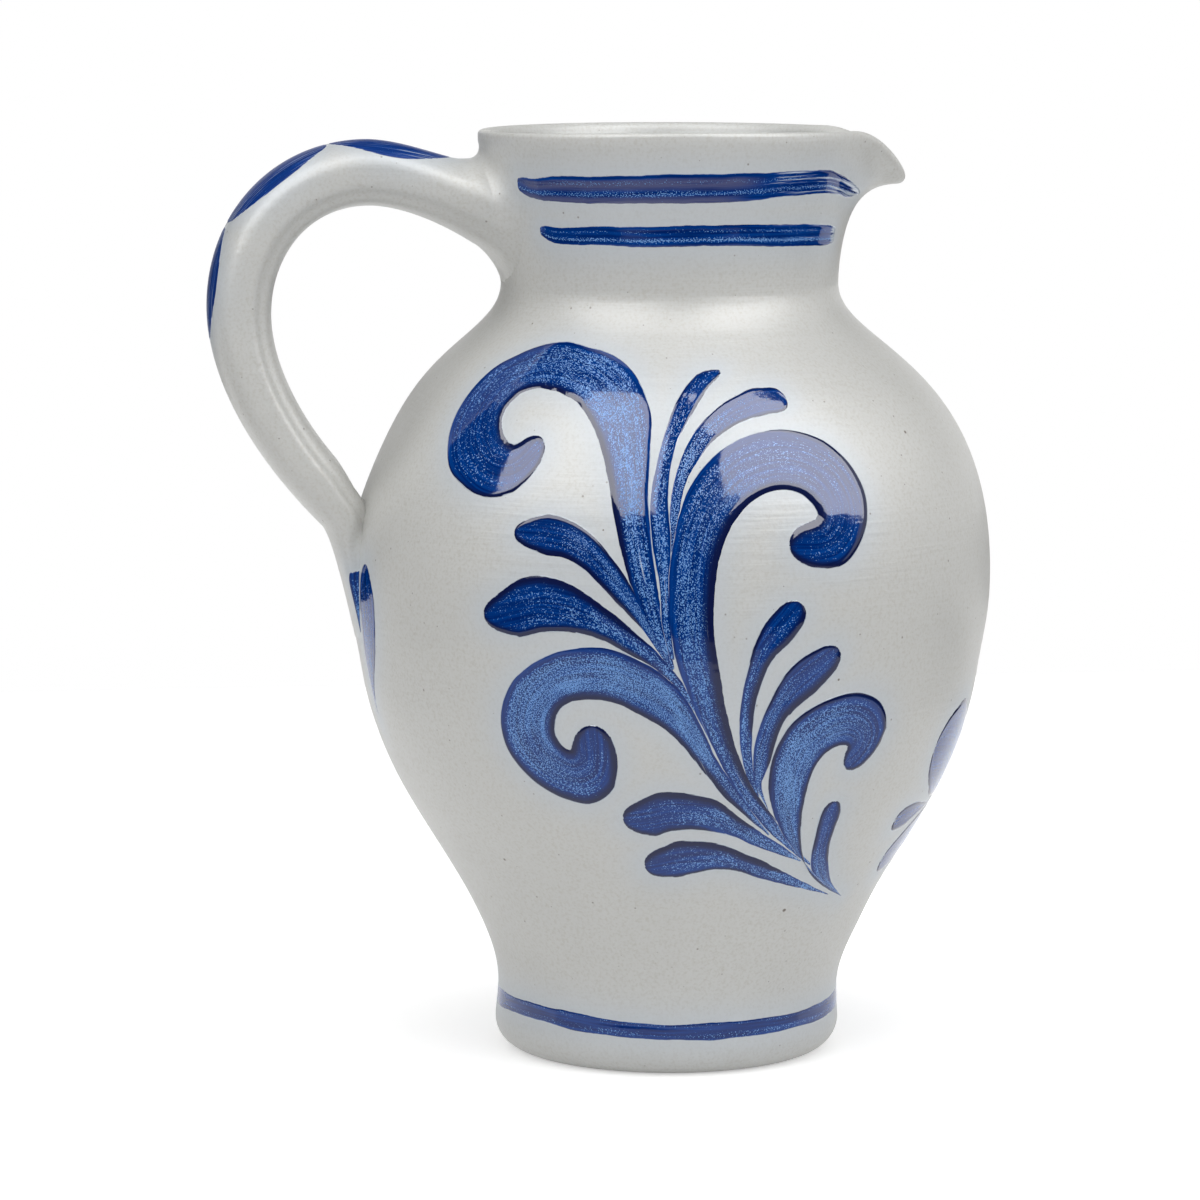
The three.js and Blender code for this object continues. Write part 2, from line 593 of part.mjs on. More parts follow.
addPiece('thrown_body', thrownBody(), stoneware);
addPiece('upper_luting_slip', lutingSlip(betweenJoints, lipHeight), luting);
addPiece('lower_luting_slip', lutingSlip(waistHeight, betweenJoints), luting);
addPiece('pulled_handle', pulledHandle(), stoneware);
addPiece('upper_neck_band', neckBand(upperBandDrop, upperBandWidth, upperBandStop), cobalt);
addPiece('lower_neck_band', neckBand(lowerBandDrop, lowerBandWidth, lowerBandStop), cobalt);
addPiece('foot_band', footBand(), cobalt);
addOnBothSides(sprayStrokes, onFront);
addOnBothSides(sprigStrokes, underSpout);
addOnBothSides(tailStrokes, besideTail);
for (const [name, leaf] of Object.entries(handleLeaves)) {
  addPiece(name, handleLeaf(leaf), cobalt);
}

export default jug;
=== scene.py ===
import math

import bpy
import numpy as np
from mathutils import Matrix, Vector
from mathutils.kdtree import KDTree


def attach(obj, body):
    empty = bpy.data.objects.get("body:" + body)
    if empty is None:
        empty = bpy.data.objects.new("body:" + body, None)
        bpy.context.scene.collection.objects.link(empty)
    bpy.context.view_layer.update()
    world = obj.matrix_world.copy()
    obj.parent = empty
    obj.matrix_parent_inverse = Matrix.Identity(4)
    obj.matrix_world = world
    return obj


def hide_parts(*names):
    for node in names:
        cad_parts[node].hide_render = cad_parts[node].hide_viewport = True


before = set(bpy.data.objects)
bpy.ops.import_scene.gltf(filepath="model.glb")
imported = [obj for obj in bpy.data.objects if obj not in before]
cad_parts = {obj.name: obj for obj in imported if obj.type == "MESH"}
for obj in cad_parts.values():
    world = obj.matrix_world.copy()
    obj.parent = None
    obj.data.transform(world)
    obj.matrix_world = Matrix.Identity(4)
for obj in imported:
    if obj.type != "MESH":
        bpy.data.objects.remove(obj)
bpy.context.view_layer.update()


# Thrown body: one lump of grey stoneware clay drawn up on the wheel into a bellied wall, with the spout
# pulled out of the wet rim by a finger. Salt thrown into the kiln glazes it thinly: satin, faintly
# pitted, with dark specks of iron and the fine rings that the potter's hands leave.

MM = 0.001
FRONT, SPOUT, HANDLE = 0.0, math.pi / 2, -math.pi / 2

jug_height = 220
foot_radius, foot_rounding = 41.3, 7
waist_height, waist_radius, waist_rise = 15, 40.8, 25.5
belly_height, belly_radius, belly_fall, belly_rise = 115, 76.6, 53.5, 52
neck_height, neck_radius, neck_fall, neck_rise = 184, 40, 15.5, 9
rim_radius, lip_fall, lip_flare = 45.2, 12.4, 1.3
wall, lip_wall, floor_thickness, floor_rounding = 5, 3.2, 8, 7
spout_reach, spout_sink, spout_depth, spout_curl = 10.1, 13.2, 30, 2.4
spout_half_angle = math.radians(32)
near_rise, near_depth = 1.3, 15
press_depth, press_height, press_length, press_angle = 3.95, 148.5, 18.5, 0.36
body_columns = 400


def bezier(start, after_start, before_end, end, steps):
    """Points [radius, height] of a cubic curve."""
    t = np.linspace(0, 1, steps + 1)[:, None]
    a, b, c, d = (np.array(p, float) for p in (start, after_start, before_end, end))
    return a * (1 - t) ** 3 + 3 * b * t * (1 - t) ** 2 + 3 * c * t ** 2 * (1 - t) + d * t ** 3


def arc(centre, radius, first, last, steps):
    turn = np.radians(np.linspace(first, last, steps + 1))
    return np.stack([centre[0] + radius * np.cos(turn), centre[1] + radius * np.sin(turn)], axis=1)


def joined(*runs):
    """One outline from runs that each start where the one before ends."""
    return np.vstack([runs[0]] + [run[1:] for run in runs[1:]])


def smooth(x):
    x = np.clip(x, 0, 1)
    return x * x * (3 - 2 * x)


lip_height = jug_height + 0.6 - lip_wall / 2 * (1 + lip_flare / lip_fall)
outside = joined(
    arc((foot_radius - foot_rounding, foot_rounding), foot_rounding, -90, 0, 10),
    np.linspace((foot_radius, foot_rounding), (waist_radius, waist_height), 9),
    bezier((waist_radius, waist_height), (waist_radius, waist_height + waist_rise),
           (belly_radius, belly_height - belly_fall), (belly_radius, belly_height), 84),
    bezier((belly_radius, belly_height), (belly_radius, belly_height + belly_rise),
           (neck_radius, neck_height - neck_fall), (neck_radius, neck_height), 72),
    bezier((neck_radius, neck_height), (neck_radius, neck_height + neck_rise),
           (rim_radius - lip_flare, lip_height - lip_fall), (rim_radius, lip_height), 28))


def wall_radius(height):
    return np.interp(height, outside[:, 1], outside[:, 0])


def from_axis(angle, axis):
    """How far an angle lies from another, whichever way round."""
    return np.abs((angle - axis + np.pi) % (2 * np.pi) - np.pi)


def potters_hand(angle, height):
    """How far the wall strays from a true turned form: a slow wander, a lean and a few swells, a spiral of
    finger rings, a bead at the lip, and the place above the handle's tail where a hand pressed it in."""
    wander = 0.14 * np.sin(2 * angle + 0.031 * height) + 0.09 * np.sin(3 * angle - 0.045 * height + 1.3)
    lean = np.sin(angle) * (0.45 * np.exp(-((height - 50) / 26) ** 2) - 0.45 * np.exp(-(height / 20) ** 2))
    swell = 0.35 * np.exp(-((height - 68) / 12) ** 2) - 0.6 * np.exp(-((height - 96) / 9) ** 2)
    swell = swell + 0.6 * np.exp(-((height - 30) / 9) ** 2) * (1 + 0.5 * np.sin(angle))
    beside_handle = from_axis(angle, HANDLE) / press_angle
    pressed = -press_depth * np.exp(-beside_handle ** 2 - ((height - press_height) / press_length) ** 2)
    rings = 0.007 * np.sin(2 * np.pi * height / 2.7 - angle) * (1 + 0.6 * np.sin(0.21 * height))
    lip_bead = 0.45 * np.exp(-((height - jug_height + 2.5) / 2.4) ** 2)
    return wander + lean + swell + pressed + rings + lip_bead


def worked_radius(angle, height):
    return wall_radius(height) + potters_hand(angle, height)


def towards_spout(angle):
    """1 on the middle line of the spout, falling to 0 at its sides."""
    return smooth(1 - from_axis(angle, SPOUT) / spout_half_angle)


def round_axis(angle, radius, height):
    """Points round the jug's axis. Angles count from the front, -Y, towards the spout, +X."""
    return np.stack(np.broadcast_arrays(radius * np.sin(angle), -radius * np.cos(angle), height), axis=-1)


def wall_at(angle, height):
    """Points of the outside, with the spout pulled out and down and the front of the rim a little higher."""
    upwards = np.clip((height - jug_height + spout_depth) / spout_depth, 0, None) ** spout_curl
    sideways = towards_spout(angle)
    radius = worked_radius(angle, height) + spout_reach * sideways * upwards
    in_front = np.clip(np.cos(angle), 0, 1) ** 2
    risen = near_rise * in_front * np.clip((height - jug_height + near_depth) / near_depth, 0, None) ** 3
    return round_axis(angle, radius, height + risen - spout_sink * sideways ** 1.9 * upwards)


def on_wall(angle, height, lift):
    """Points that stand off the outside by a lift along its normal."""
    angle, height, lift = np.broadcast_arrays(angle, height, lift)
    around = wall_at(angle + 0.004, height) - wall_at(angle - 0.004, height)
    upwards = wall_at(angle, height + 0.3) - wall_at(angle, height - 0.3)
    normal = np.cross(around, upwards)
    normal /= np.linalg.norm(normal, axis=-1, keepdims=True)
    return wall_at(angle, height) + normal * lift[..., None]


def make_piece(name, rings, material, **point_values):
    """A closed smooth mesh over rings of equally many points, given in millimetres."""
    rings = np.asarray(rings, float)
    count, size = rings.shape[:2]
    points = rings.reshape(-1, 3) * MM
    here = np.arange(count * size).reshape(count, size)
    beside = np.roll(here, -1, axis=1)
    quads = np.stack([here[:-1], beside[:-1], beside[1:], here[1:]], axis=-1).reshape(-1, 4)
    a, b, c, d = (points[quads[:, k]] for k in range(4))
    volume = np.einsum("ij,ij->", np.cross(b - a, c - a), a) + np.einsum("ij,ij->", np.cross(c - a, d - a), a)
    faces = quads.tolist() + [here[0, ::-1].tolist(), here[-1].tolist()]
    if volume < 0:
        faces = [face[::-1] for face in faces]
    mesh = bpy.data.meshes.new(name)
    mesh.from_pydata(points.tolist(), [], faces)
    mesh.shade_smooth()
    for key, values in point_values.items():
        values = np.asarray(values, np.float32)
        kind, field = ("FLOAT_VECTOR", "vector") if values.ndim == 3 else ("FLOAT", "value")
        mesh.attributes.new(key, kind, "POINT").data.foreach_set(field, values.ravel())
    mesh.materials.append(material)
    piece = bpy.data.objects.new(name, mesh)
    bpy.context.collection.objects.link(piece)
    return piece


def put_on(piece, slot, *nodes):
    """The piece rides on the jug and stands for these solids, which are hidden. The slot is not used."""
    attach(piece, "root")
    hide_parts(*nodes)


def add_node(tree, kind, inputs=None, **settings):
    made = tree.nodes.new(kind)
    for key, value in settings.items():
        setattr(made, key, value)
    for key, value in (inputs or {}).items():
        if isinstance(value, bpy.types.NodeSocket):
            tree.links.new(value, made.inputs[key])
        else:
            made.inputs[key].default_value = value
    return made


def calc(tree, operation, *values):
    return add_node(tree, "ShaderNodeMath", dict(enumerate(values)), operation=operation).outputs[0]


def mix(tree, factor, first, second):
    """A colour between two colours. Sockets 0, 6 and 7 of the node are its factor and its two colours."""
    return add_node(tree, "ShaderNodeMix", {0: factor, 6: first, 7: second}, data_type="RGBA").outputs[2]


def step_up(tree, value, low, high):
    """A smooth step from 0 at low to 1 at high."""
    inputs = {"Value": value, "From Min": low, "From Max": high}
    return add_node(tree, "ShaderNodeMapRange", inputs, interpolation_type="SMOOTHSTEP").outputs[0]


def scaled(tree, vector, scale):
    return add_node(tree, "ShaderNodeVectorMath", {0: vector, 1: scale}, operation="MULTIPLY").outputs[0]


def grain(tree, vector, scale, detail=2.0):
    inputs = {"Vector": vector, "Scale": scale, "Detail": detail, "Roughness": 0.55}
    return add_node(tree, "ShaderNodeTexNoise", inputs).outputs[0]


def node_group(name, inputs, outputs):
    tree = bpy.data.node_groups.new(name, "ShaderNodeTree")
    for kind, sockets in (("INPUT", inputs), ("OUTPUT", outputs)):
        for socket, socket_type in sockets.items():
            tree.interface.new_socket(socket, in_out=kind, socket_type=socket_type)
    return tree, tree.nodes.new("NodeGroupInput").outputs, tree.nodes.new("NodeGroupOutput").inputs


def kiln_skin_group():
    """Height of a thrown and salted surface: finger rings, brush-fine turning lines and orange peel."""
    tree, given, result = node_group("Kiln skin", {"Lines": "NodeSocketFloat", "Peel": "NodeSocketFloat"},
                                     {"Height": "NodeSocketFloat", "Sheen": "NodeSocketFloat"})
    place = add_node(tree, "ShaderNodeTexCoord").outputs["Object"]
    ringed = scaled(tree, place, (0.06, 0.06, 1))
    lines = calc(tree, "ADD", grain(tree, ringed, 900), calc(tree, "MULTIPLY", grain(tree, ringed, 260), 1.5))
    peel = calc(tree, "ADD", grain(tree, place, 700), calc(tree, "MULTIPLY", grain(tree, place, 160), 1.2))
    height = calc(tree, "MULTIPLY_ADD", lines, given["Lines"], calc(tree, "MULTIPLY", peel, given["Peel"]))
    tree.links.new(height, result["Height"])
    tree.links.new(step_up(tree, grain(tree, place, 45, 3.0), 0.3, 0.7), result["Sheen"])
    return tree


kiln_skin = kiln_skin_group()


def use_group(tree, group, **values):
    made = add_node(tree, "ShaderNodeGroup", node_tree=group)
    for key, value in values.items():
        made.inputs[key].default_value = value
    return made.outputs


def new_material(name):
    material = bpy.data.materials.new(name)
    material.use_nodes = True
    return material, material.node_tree, material.node_tree.nodes["Principled BSDF"]


def iron_specks(tree, place):
    """Mask of iron specks: fine ones nearly everywhere and a few large ones."""
    masks = []
    for scale, share, radius, strength in ((330, 0.5, 0.09, 0.6), (110, 0.4, 0.05, 0.9)):
        cells = add_node(tree, "ShaderNodeTexVoronoi", {"Vector": place, "Scale": scale})
        chance = add_node(tree, "ShaderNodeSeparateColor", {0: cells.outputs["Color"]}).outputs
        reach = calc(tree, "MULTIPLY_ADD", chance[1], radius, radius * 0.4)
        away = step_up(tree, calc(tree, "DIVIDE", cells.outputs["Distance"], reach), 0.5, 1)
        spot = calc(tree, "SUBTRACT", 1.0, away)
        shown = calc(tree, "MULTIPLY", calc(tree, "LESS_THAN", chance[0], share), strength)
        masks.append(calc(tree, "MULTIPLY", spot, shown))
    return calc(tree, "MAXIMUM", *masks)


def salt_glazed_stoneware():
    """Grey clay under thin salt glaze, whiter and cooler in the haze that cobalt leaves beside a stroke."""
    material, tree, shader = new_material("Salt-glazed stoneware")
    place = add_node(tree, "ShaderNodeTexCoord").outputs["Object"]
    skin = use_group(tree, kiln_skin, Lines=1.8, Peel=0.8)
    haze = add_node(tree, "ShaderNodeAttribute", attribute_name="haze").outputs["Fac"]
    clay = mix(tree, step_up(tree, grain(tree, place, 14, 3.0), 0.3, 0.7),
               (0.56, 0.562, 0.545, 1), (0.58, 0.582, 0.564, 1))
    salted = mix(tree, step_up(tree, grain(tree, place, 1400, 3.0), 0.4, 0.8), clay, (0.5, 0.49, 0.455, 1))
    cooled = mix(tree, haze, salted, (0.51, 0.56, 0.615, 1))
    shown = mix(tree, iron_specks(tree, place), cooled, (0.13, 0.10, 0.08, 1))
    bump = add_node(tree, "ShaderNodeBump", {"Strength": 0.7, "Distance": 0.00006, "Height": skin["Height"]})
    tree.links.new(shown, shader.inputs["Base Color"])
    tree.links.new(calc(tree, "MULTIPLY_ADD", skin["Sheen"], 0.08, 0.35), shader.inputs["Roughness"])
    tree.links.new(bump.outputs[0], shader.inputs["Normal"])
    shader.inputs["IOR"].default_value = 1.45
    return material


stoneware = salt_glazed_stoneware()


def body_rings():
    """Rings from the middle of the underside up the outside, over the lip and down to the floor inside."""
    angles = np.linspace(0, 2 * np.pi, body_columns, endpoint=False)
    heights = outside[:, 1]
    outer = [wall_at(angles, height) for height in heights]
    corner = floor_thickness + floor_rounding
    rim_wall = lip_wall + (wall - lip_wall) * towards_spout(angles)
    inner = [on_wall(angles, height, -wall - (rim_wall - wall) * smooth((height - neck_height) / 30))
             for height in heights[heights > corner][::2]]
    centre = (outer[-1] + inner[-1]) / 2
    across = outer[-1] - centre
    along = outer[-1] - outer[-2]
    along *= rim_wall[:, None] / 2 / np.linalg.norm(along, axis=-1, keepdims=True)
    turns = np.linspace(0, np.pi, 14)[1:-1]
    lip = [centre + across * math.cos(turn) + along * math.sin(turn) for turn in turns]
    inner_radius = wall_radius(corner) - wall
    floor_edge = arc((inner_radius - floor_rounding, corner), floor_rounding, 0, -90, 8)
    floor = [round_axis(angles, *point) for point in floor_edge]
    underside = [round_axis(angles, radius, 0) for radius in (2, 16, foot_radius - foot_rounding - 3)]
    bottom = [round_axis(angles, radius, floor_thickness) for radius in (16, 2)]
    return underside + outer + lip + inner[::-1][1:] + floor + bottom


thrown_body = make_piece("thrown_body_clay", body_rings(), stoneware)
put_on(thrown_body, "stoneware", "thrown_body")


# Pulled handle: a strap drawn out of a lump of the same clay by wet fingers, which leave a crest, a
# groove and a thin rim along each side. Its thick end is luted under the rim and smoothed into the neck,
# and its thin end is pressed down on the belly.

handle_drop, handle_inset = 6.6, 3
hollow_reach, crown_reach, crown_rise = 5.3, 27.2, 4.6
handle_reach, handle_side = 65.2, 34.7
bend_above_belly, bend_lift, bend_slope = 12.2, 7.4, math.radians(45)
tail_below_belly, tail_lift = 15, -0.5
strap_thickness, strap_low_thickness, tail_thickness = 15.4, 13.3, 10.4
thinning, tail_thinning, tail_squaring = (0.38, 0.45), (0.785, 0.1), (0.84, 0.08)
groove_depth, ridge_height, side_hollow = 0.9, 0.35, 0.5
narrowing = ((0, 0.78, 0.88, 0.95, 0.985, 1), (28, 28, 27, 27, 25, 17))
root_share, root_flare_width, root_flare_length = 0.185, 7, 26
root_under_run, root_under_bend, root_under_drop = 10.5, (8.5, 24.4), 31.5
root_fillet, root_fillet_change, crease_turn, crease_depth = 4.6, 1.1, 0.12, 3.5
handle_rings, handle_facets = 240, 72


def strap_outline():
    """Outer outline of the strap in the plane of the jug's axis: [distance from the axis, height]."""
    top = jug_height - handle_drop
    neck_side = float(wall_radius(top))
    bend_height, tail_height = belly_height + bend_above_belly, belly_height - tail_below_belly
    start = np.array([neck_side - handle_inset, top + handle_inset])
    hollow = np.array([neck_side + hollow_reach, top])
    crown = np.array([neck_side + crown_reach, top + crown_rise])
    side = np.array([neck_side + handle_reach, top - handle_side])
    bend = np.array([wall_radius(bend_height) + bend_lift, bend_height])
    tail = np.array([wall_radius(tail_height) + tail_lift, tail_height])
    slope = np.array([math.cos(bend_slope), math.sin(bend_slope)])
    outline = joined(
        bezier(start, (start[0] + 2, top), hollow - (3, 0), hollow, 40),
        bezier(hollow, hollow + (3.5, 0), crown - (8, 0), crown, 60),
        bezier(crown, crown + (21.8, 0), side + (0, 22.2), side, 120),
        bezier(side, side - (0, 20.6), bend + 16 * slope, bend, 120),
        bezier(bend, bend - 3.6 * slope, tail + (2.2, 11), tail, 60))
    length = np.concatenate([[0], np.cumsum(np.linalg.norm(np.diff(outline, axis=0), axis=1))])
    return outline, length / length[-1]


strap_edge, strap_shares = strap_outline()
strap_along = np.gradient(strap_edge, strap_shares, axis=0)
strap_along /= np.linalg.norm(strap_along, axis=1, keepdims=True)


def thickness_at_root():
    """Thickness of the strap from its outer outline to the curve that its underside draws to the neck."""
    inward = np.stack([strap_along[:, 1], -strap_along[:, 0]], axis=1)
    first = np.searchsorted(strap_shares, root_share)
    top = strap_edge[first] + strap_thickness * inward[first]
    bend = (neck_radius + root_under_bend[0], jug_height - root_under_bend[1])
    at_neck = (neck_radius, jug_height - root_under_drop)
    under = bezier(top, top - root_under_run * strap_along[first], bend, at_neck, 200)
    thickness = np.full(len(strap_edge), np.nan)
    for k in range(first + 1):
        ahead = (under - strap_edge[k]) @ strap_along[k]
        deep = (under - strap_edge[k]) @ inward[k]
        if ahead.min() <= 0 <= ahead.max():
            thickness[k] = np.interp(0, ahead[::-1], deep[::-1])
    found = ~np.isnan(thickness)
    return np.interp(strap_shares, strap_shares[found], thickness[found])


root_thickness = thickness_at_root()


def change(share, first, length):
    """0 up to a share of the strap's length, rising to 1 over the next length."""
    return smooth((share - first) / length)


def strap_skin(share, turn, lift=0.0):
    """Points of the strap at shares of its length. A turn of 90 degrees is the middle of its outer face."""
    share, turn, lift = np.broadcast_arrays(share, turn, lift)
    edge = np.stack([np.interp(share, strap_shares, strap_edge[:, k]) for k in (0, 1)], axis=-1)
    tangent = np.stack([np.interp(share, strap_shares, strap_along[:, k]) for k in (0, 1)], axis=-1)
    inward = np.stack([tangent[..., 1], -tangent[..., 0]], axis=-1)
    thickness = strap_thickness + (strap_low_thickness - strap_thickness) * change(share, *thinning)
    thickness = thickness + (tail_thickness - strap_low_thickness) * change(share, *tail_thinning)
    flare = 1 - np.clip((edge[..., 0] - neck_radius - 3) / root_flare_length, 0, 1)
    flare = np.where(share < 0.4, flare, 0)
    thickness = np.where(share < root_share, np.interp(share, strap_shares, root_thickness), thickness)
    width = np.interp(share, *narrowing) + root_flare_width * flare ** 2
    sine, cosine = np.sin(turn), np.cos(turn)
    boxy = 0.8 + 0.25 * flare ** 2 - 0.3 * change(share, *tail_squaring)
    outwards = np.sign(sine) * np.abs(sine) ** boxy
    across = np.sign(cosine) * np.abs(cosine) ** boxy
    groove = groove_depth * np.exp(-((sine + 0.5) / 0.17) ** 2)
    ridge = ridge_height * np.exp(-((sine + 0.82) / 0.12) ** 2)
    sink = groove - ridge + side_hollow * np.exp(-((sine + 0.05) / 0.3) ** 2)
    middle = edge + inward * (thickness / 2)[..., None]
    place = middle - inward * (outwards * (thickness / 2 + lift - 0.4 * sink))[..., None]
    return np.stack([-place[..., 0], across * (width / 2 + lift - sink), place[..., 1]], axis=-1)


def off_wall(points):
    """The angle of points, and how far they stand outside the wall."""
    angle = np.arctan2(points[..., 0], -points[..., 1])
    return angle, np.hypot(points[..., 0], points[..., 1]) - worked_radius(angle, points[..., 2])


def into_neck(points, centres):
    """Keeps the strap's ends inside the wall, draws its root out along the neck in a round fillet and
    cuts a crease beside its tail."""
    angle, clear = off_wall(points)
    clear = np.maximum(clear, -wall / 2)
    height = points[..., 2]
    aside = (angle - HANDLE) * neck_radius
    rise = height - centres[..., 2]
    away = np.hypot(aside, rise) + 1e-6
    fillet = root_fillet - root_fillet_change * np.tanh(rise / 4)
    depth = np.clip(clear, 0, fillet)
    spread = fillet - np.sqrt(np.clip(fillet ** 2 - (fillet - depth) ** 2, 0, None))
    spread = np.where(height > neck_height - 14, spread, 0)
    angle = angle + spread * aside / away / neck_radius
    height = height + spread * rise / away
    radius = worked_radius(angle, height) + clear - 0.12 * (spread > 0)
    creased = smooth((height - belly_height - 3) / 10) * (height < neck_height - 40)
    angle = angle - crease_turn * creased * (1 - smooth(clear / crease_depth)) * (angle - HANDLE)
    return round_axis(angle, radius, height)


def handle_skin():
    """Rings of the strap. The first ones close its buried end, which follows the curve of the wall."""
    shares = np.concatenate([np.linspace(0, 0.06, 110), np.linspace(0.06, 1, handle_rings)[1:]])[:, None]
    turns = np.linspace(0, 2 * np.pi, handle_facets, endpoint=False)[None, :]
    skin = strap_skin(shares, turns)
    middle = skin[:1].mean(axis=1, keepdims=True)
    closing = [middle + size * (skin[:1] - middle) for size in (0.02, 0.2, 0.4, 0.6, 0.8)]
    skin = np.concatenate([*closing, skin])
    return into_neck(skin, np.broadcast_to(skin.mean(axis=1, keepdims=True), skin.shape))


pulled_handle = make_piece("pulled_handle_clay", handle_skin(), stoneware)
put_on(pulled_handle, "stoneware", "pulled_handle")


# Luting slip: the creamy clay between body and handle. What the press of the handle squeezes out is
# smoothed with a wet finger into a thin round bead along the edge of each joint.

def luting_slip():
    """The same clay as the jug, finer and duller, because it is wiped and takes less salt."""
    material, tree, shader = new_material("Luting slip")
    skin = use_group(tree, kiln_skin, Lines=0.2, Peel=0.8)
    place = add_node(tree, "ShaderNodeTexCoord").outputs["Object"]
    colour = mix(tree, step_up(tree, grain(tree, place, 300), 0.35, 0.7),
                 (0.5, 0.5, 0.47, 1), (0.57, 0.57, 0.545, 1))
    bump = add_node(tree, "ShaderNodeBump", {"Strength": 0.4, "Distance": 0.00005, "Height": skin["Height"]})
    tree.links.new(colour, shader.inputs["Base Color"])
    tree.links.new(calc(tree, "MULTIPLY_ADD", skin["Sheen"], 0.15, 0.5), shader.inputs["Roughness"])
    tree.links.new(bump.outputs[0], shader.inputs["Normal"])
    return material


luted = luting_slip()


def bead(path, radius, facets=10):
    """Rings of a closed round bead along a closed path."""
    path = np.asarray(path)
    along = np.roll(path, -1, axis=0) - np.roll(path, 1, axis=0)
    along /= np.linalg.norm(along, axis=1, keepdims=True)
    outwards = path * (1, 1, 0)
    outwards /= np.linalg.norm(outwards, axis=1, keepdims=True)
    aside = np.cross(along, outwards)
    turns = np.linspace(0, 2 * np.pi, facets, endpoint=False)
    rings = [path + radius * (np.cos(turn) * outwards + np.sin(turn) * aside) for turn in turns]
    return np.swapaxes(np.array(rings), 0, 1)


def joint_path(low, high, low_sink, high_sink, count=160):
    """Where the handle's skin comes out of the wall, between two heights, in order round the joint."""
    skin = handle_skin()
    clear = off_wall(skin)[1]
    crossing = []
    for first, second, near, far in ((skin[:-1], skin[1:], clear[:-1], clear[1:]),
                                     (skin, np.roll(skin, -1, axis=1), clear, np.roll(clear, -1, axis=1))):
        cut = near * far < 0
        share = (near[cut] / (near[cut] - far[cut]))[:, None]
        crossing.append(first[cut] * (1 - share) + second[cut] * share)
    points = np.vstack(crossing)
    points = points[(points[:, 2] > low) & (points[:, 2] < high)]
    middle = points.mean(axis=0)
    turn = np.arctan2(points[:, 2] - middle[2], points[:, 1] - middle[1])
    even = np.linspace(-np.pi, np.pi, count, endpoint=False)
    path = np.stack([np.interp(even, turn, points[:, k], period=2 * np.pi) for k in range(3)], axis=1)
    upwards = smooth((path[:, 2] - path[:, 2].min()) / np.ptp(path[:, 2]))
    sink = low_sink + (high_sink - low_sink) * upwards
    radial = np.hypot(path[:, 0], path[:, 1])
    return path * (1 - (sink / radial)[:, None] * np.array([1, 1, 0]))


def lay_bead(joint, path, radius):
    rings = bead(path, radius)
    piece = make_piece(f"{joint}_joint_slip", np.vstack([rings, rings[:1]]), luted)
    put_on(piece, "luting_slip", f"{joint}_luting_slip")


between_joints = (belly_height + neck_height) / 2
lay_bead("upper", joint_path(between_joints, jug_height, low_sink=0.4, high_sink=1.2), radius=0.45)
lay_bead("lower", joint_path(0, between_joints, low_sink=0.5, high_sink=0.5), radius=0.5)


# Brush strokes: cobalt oxide in clay slip, laid on the raw clay with a loaded round brush and melted
# glossy by the salt. Slip pools dark along one edge and in the round head, and thins to pale streaks.

film, film_sink, bead_slope = 0.05, 0.03, 0.07
stroke_spacing, bristle_jitter, head_smoothing = 0.6, 0.09, 20
layer_step, usual_dryness, without_head = 0.012, 0.95, 100
grid_radius = 77
to_edge = np.array([0.2, 0.4, 0.6, 0.76, 0.88, 0.95, 0.985, 1])
crosswise = np.concatenate([-to_edge[::-1], [0], to_edge])
painted = []


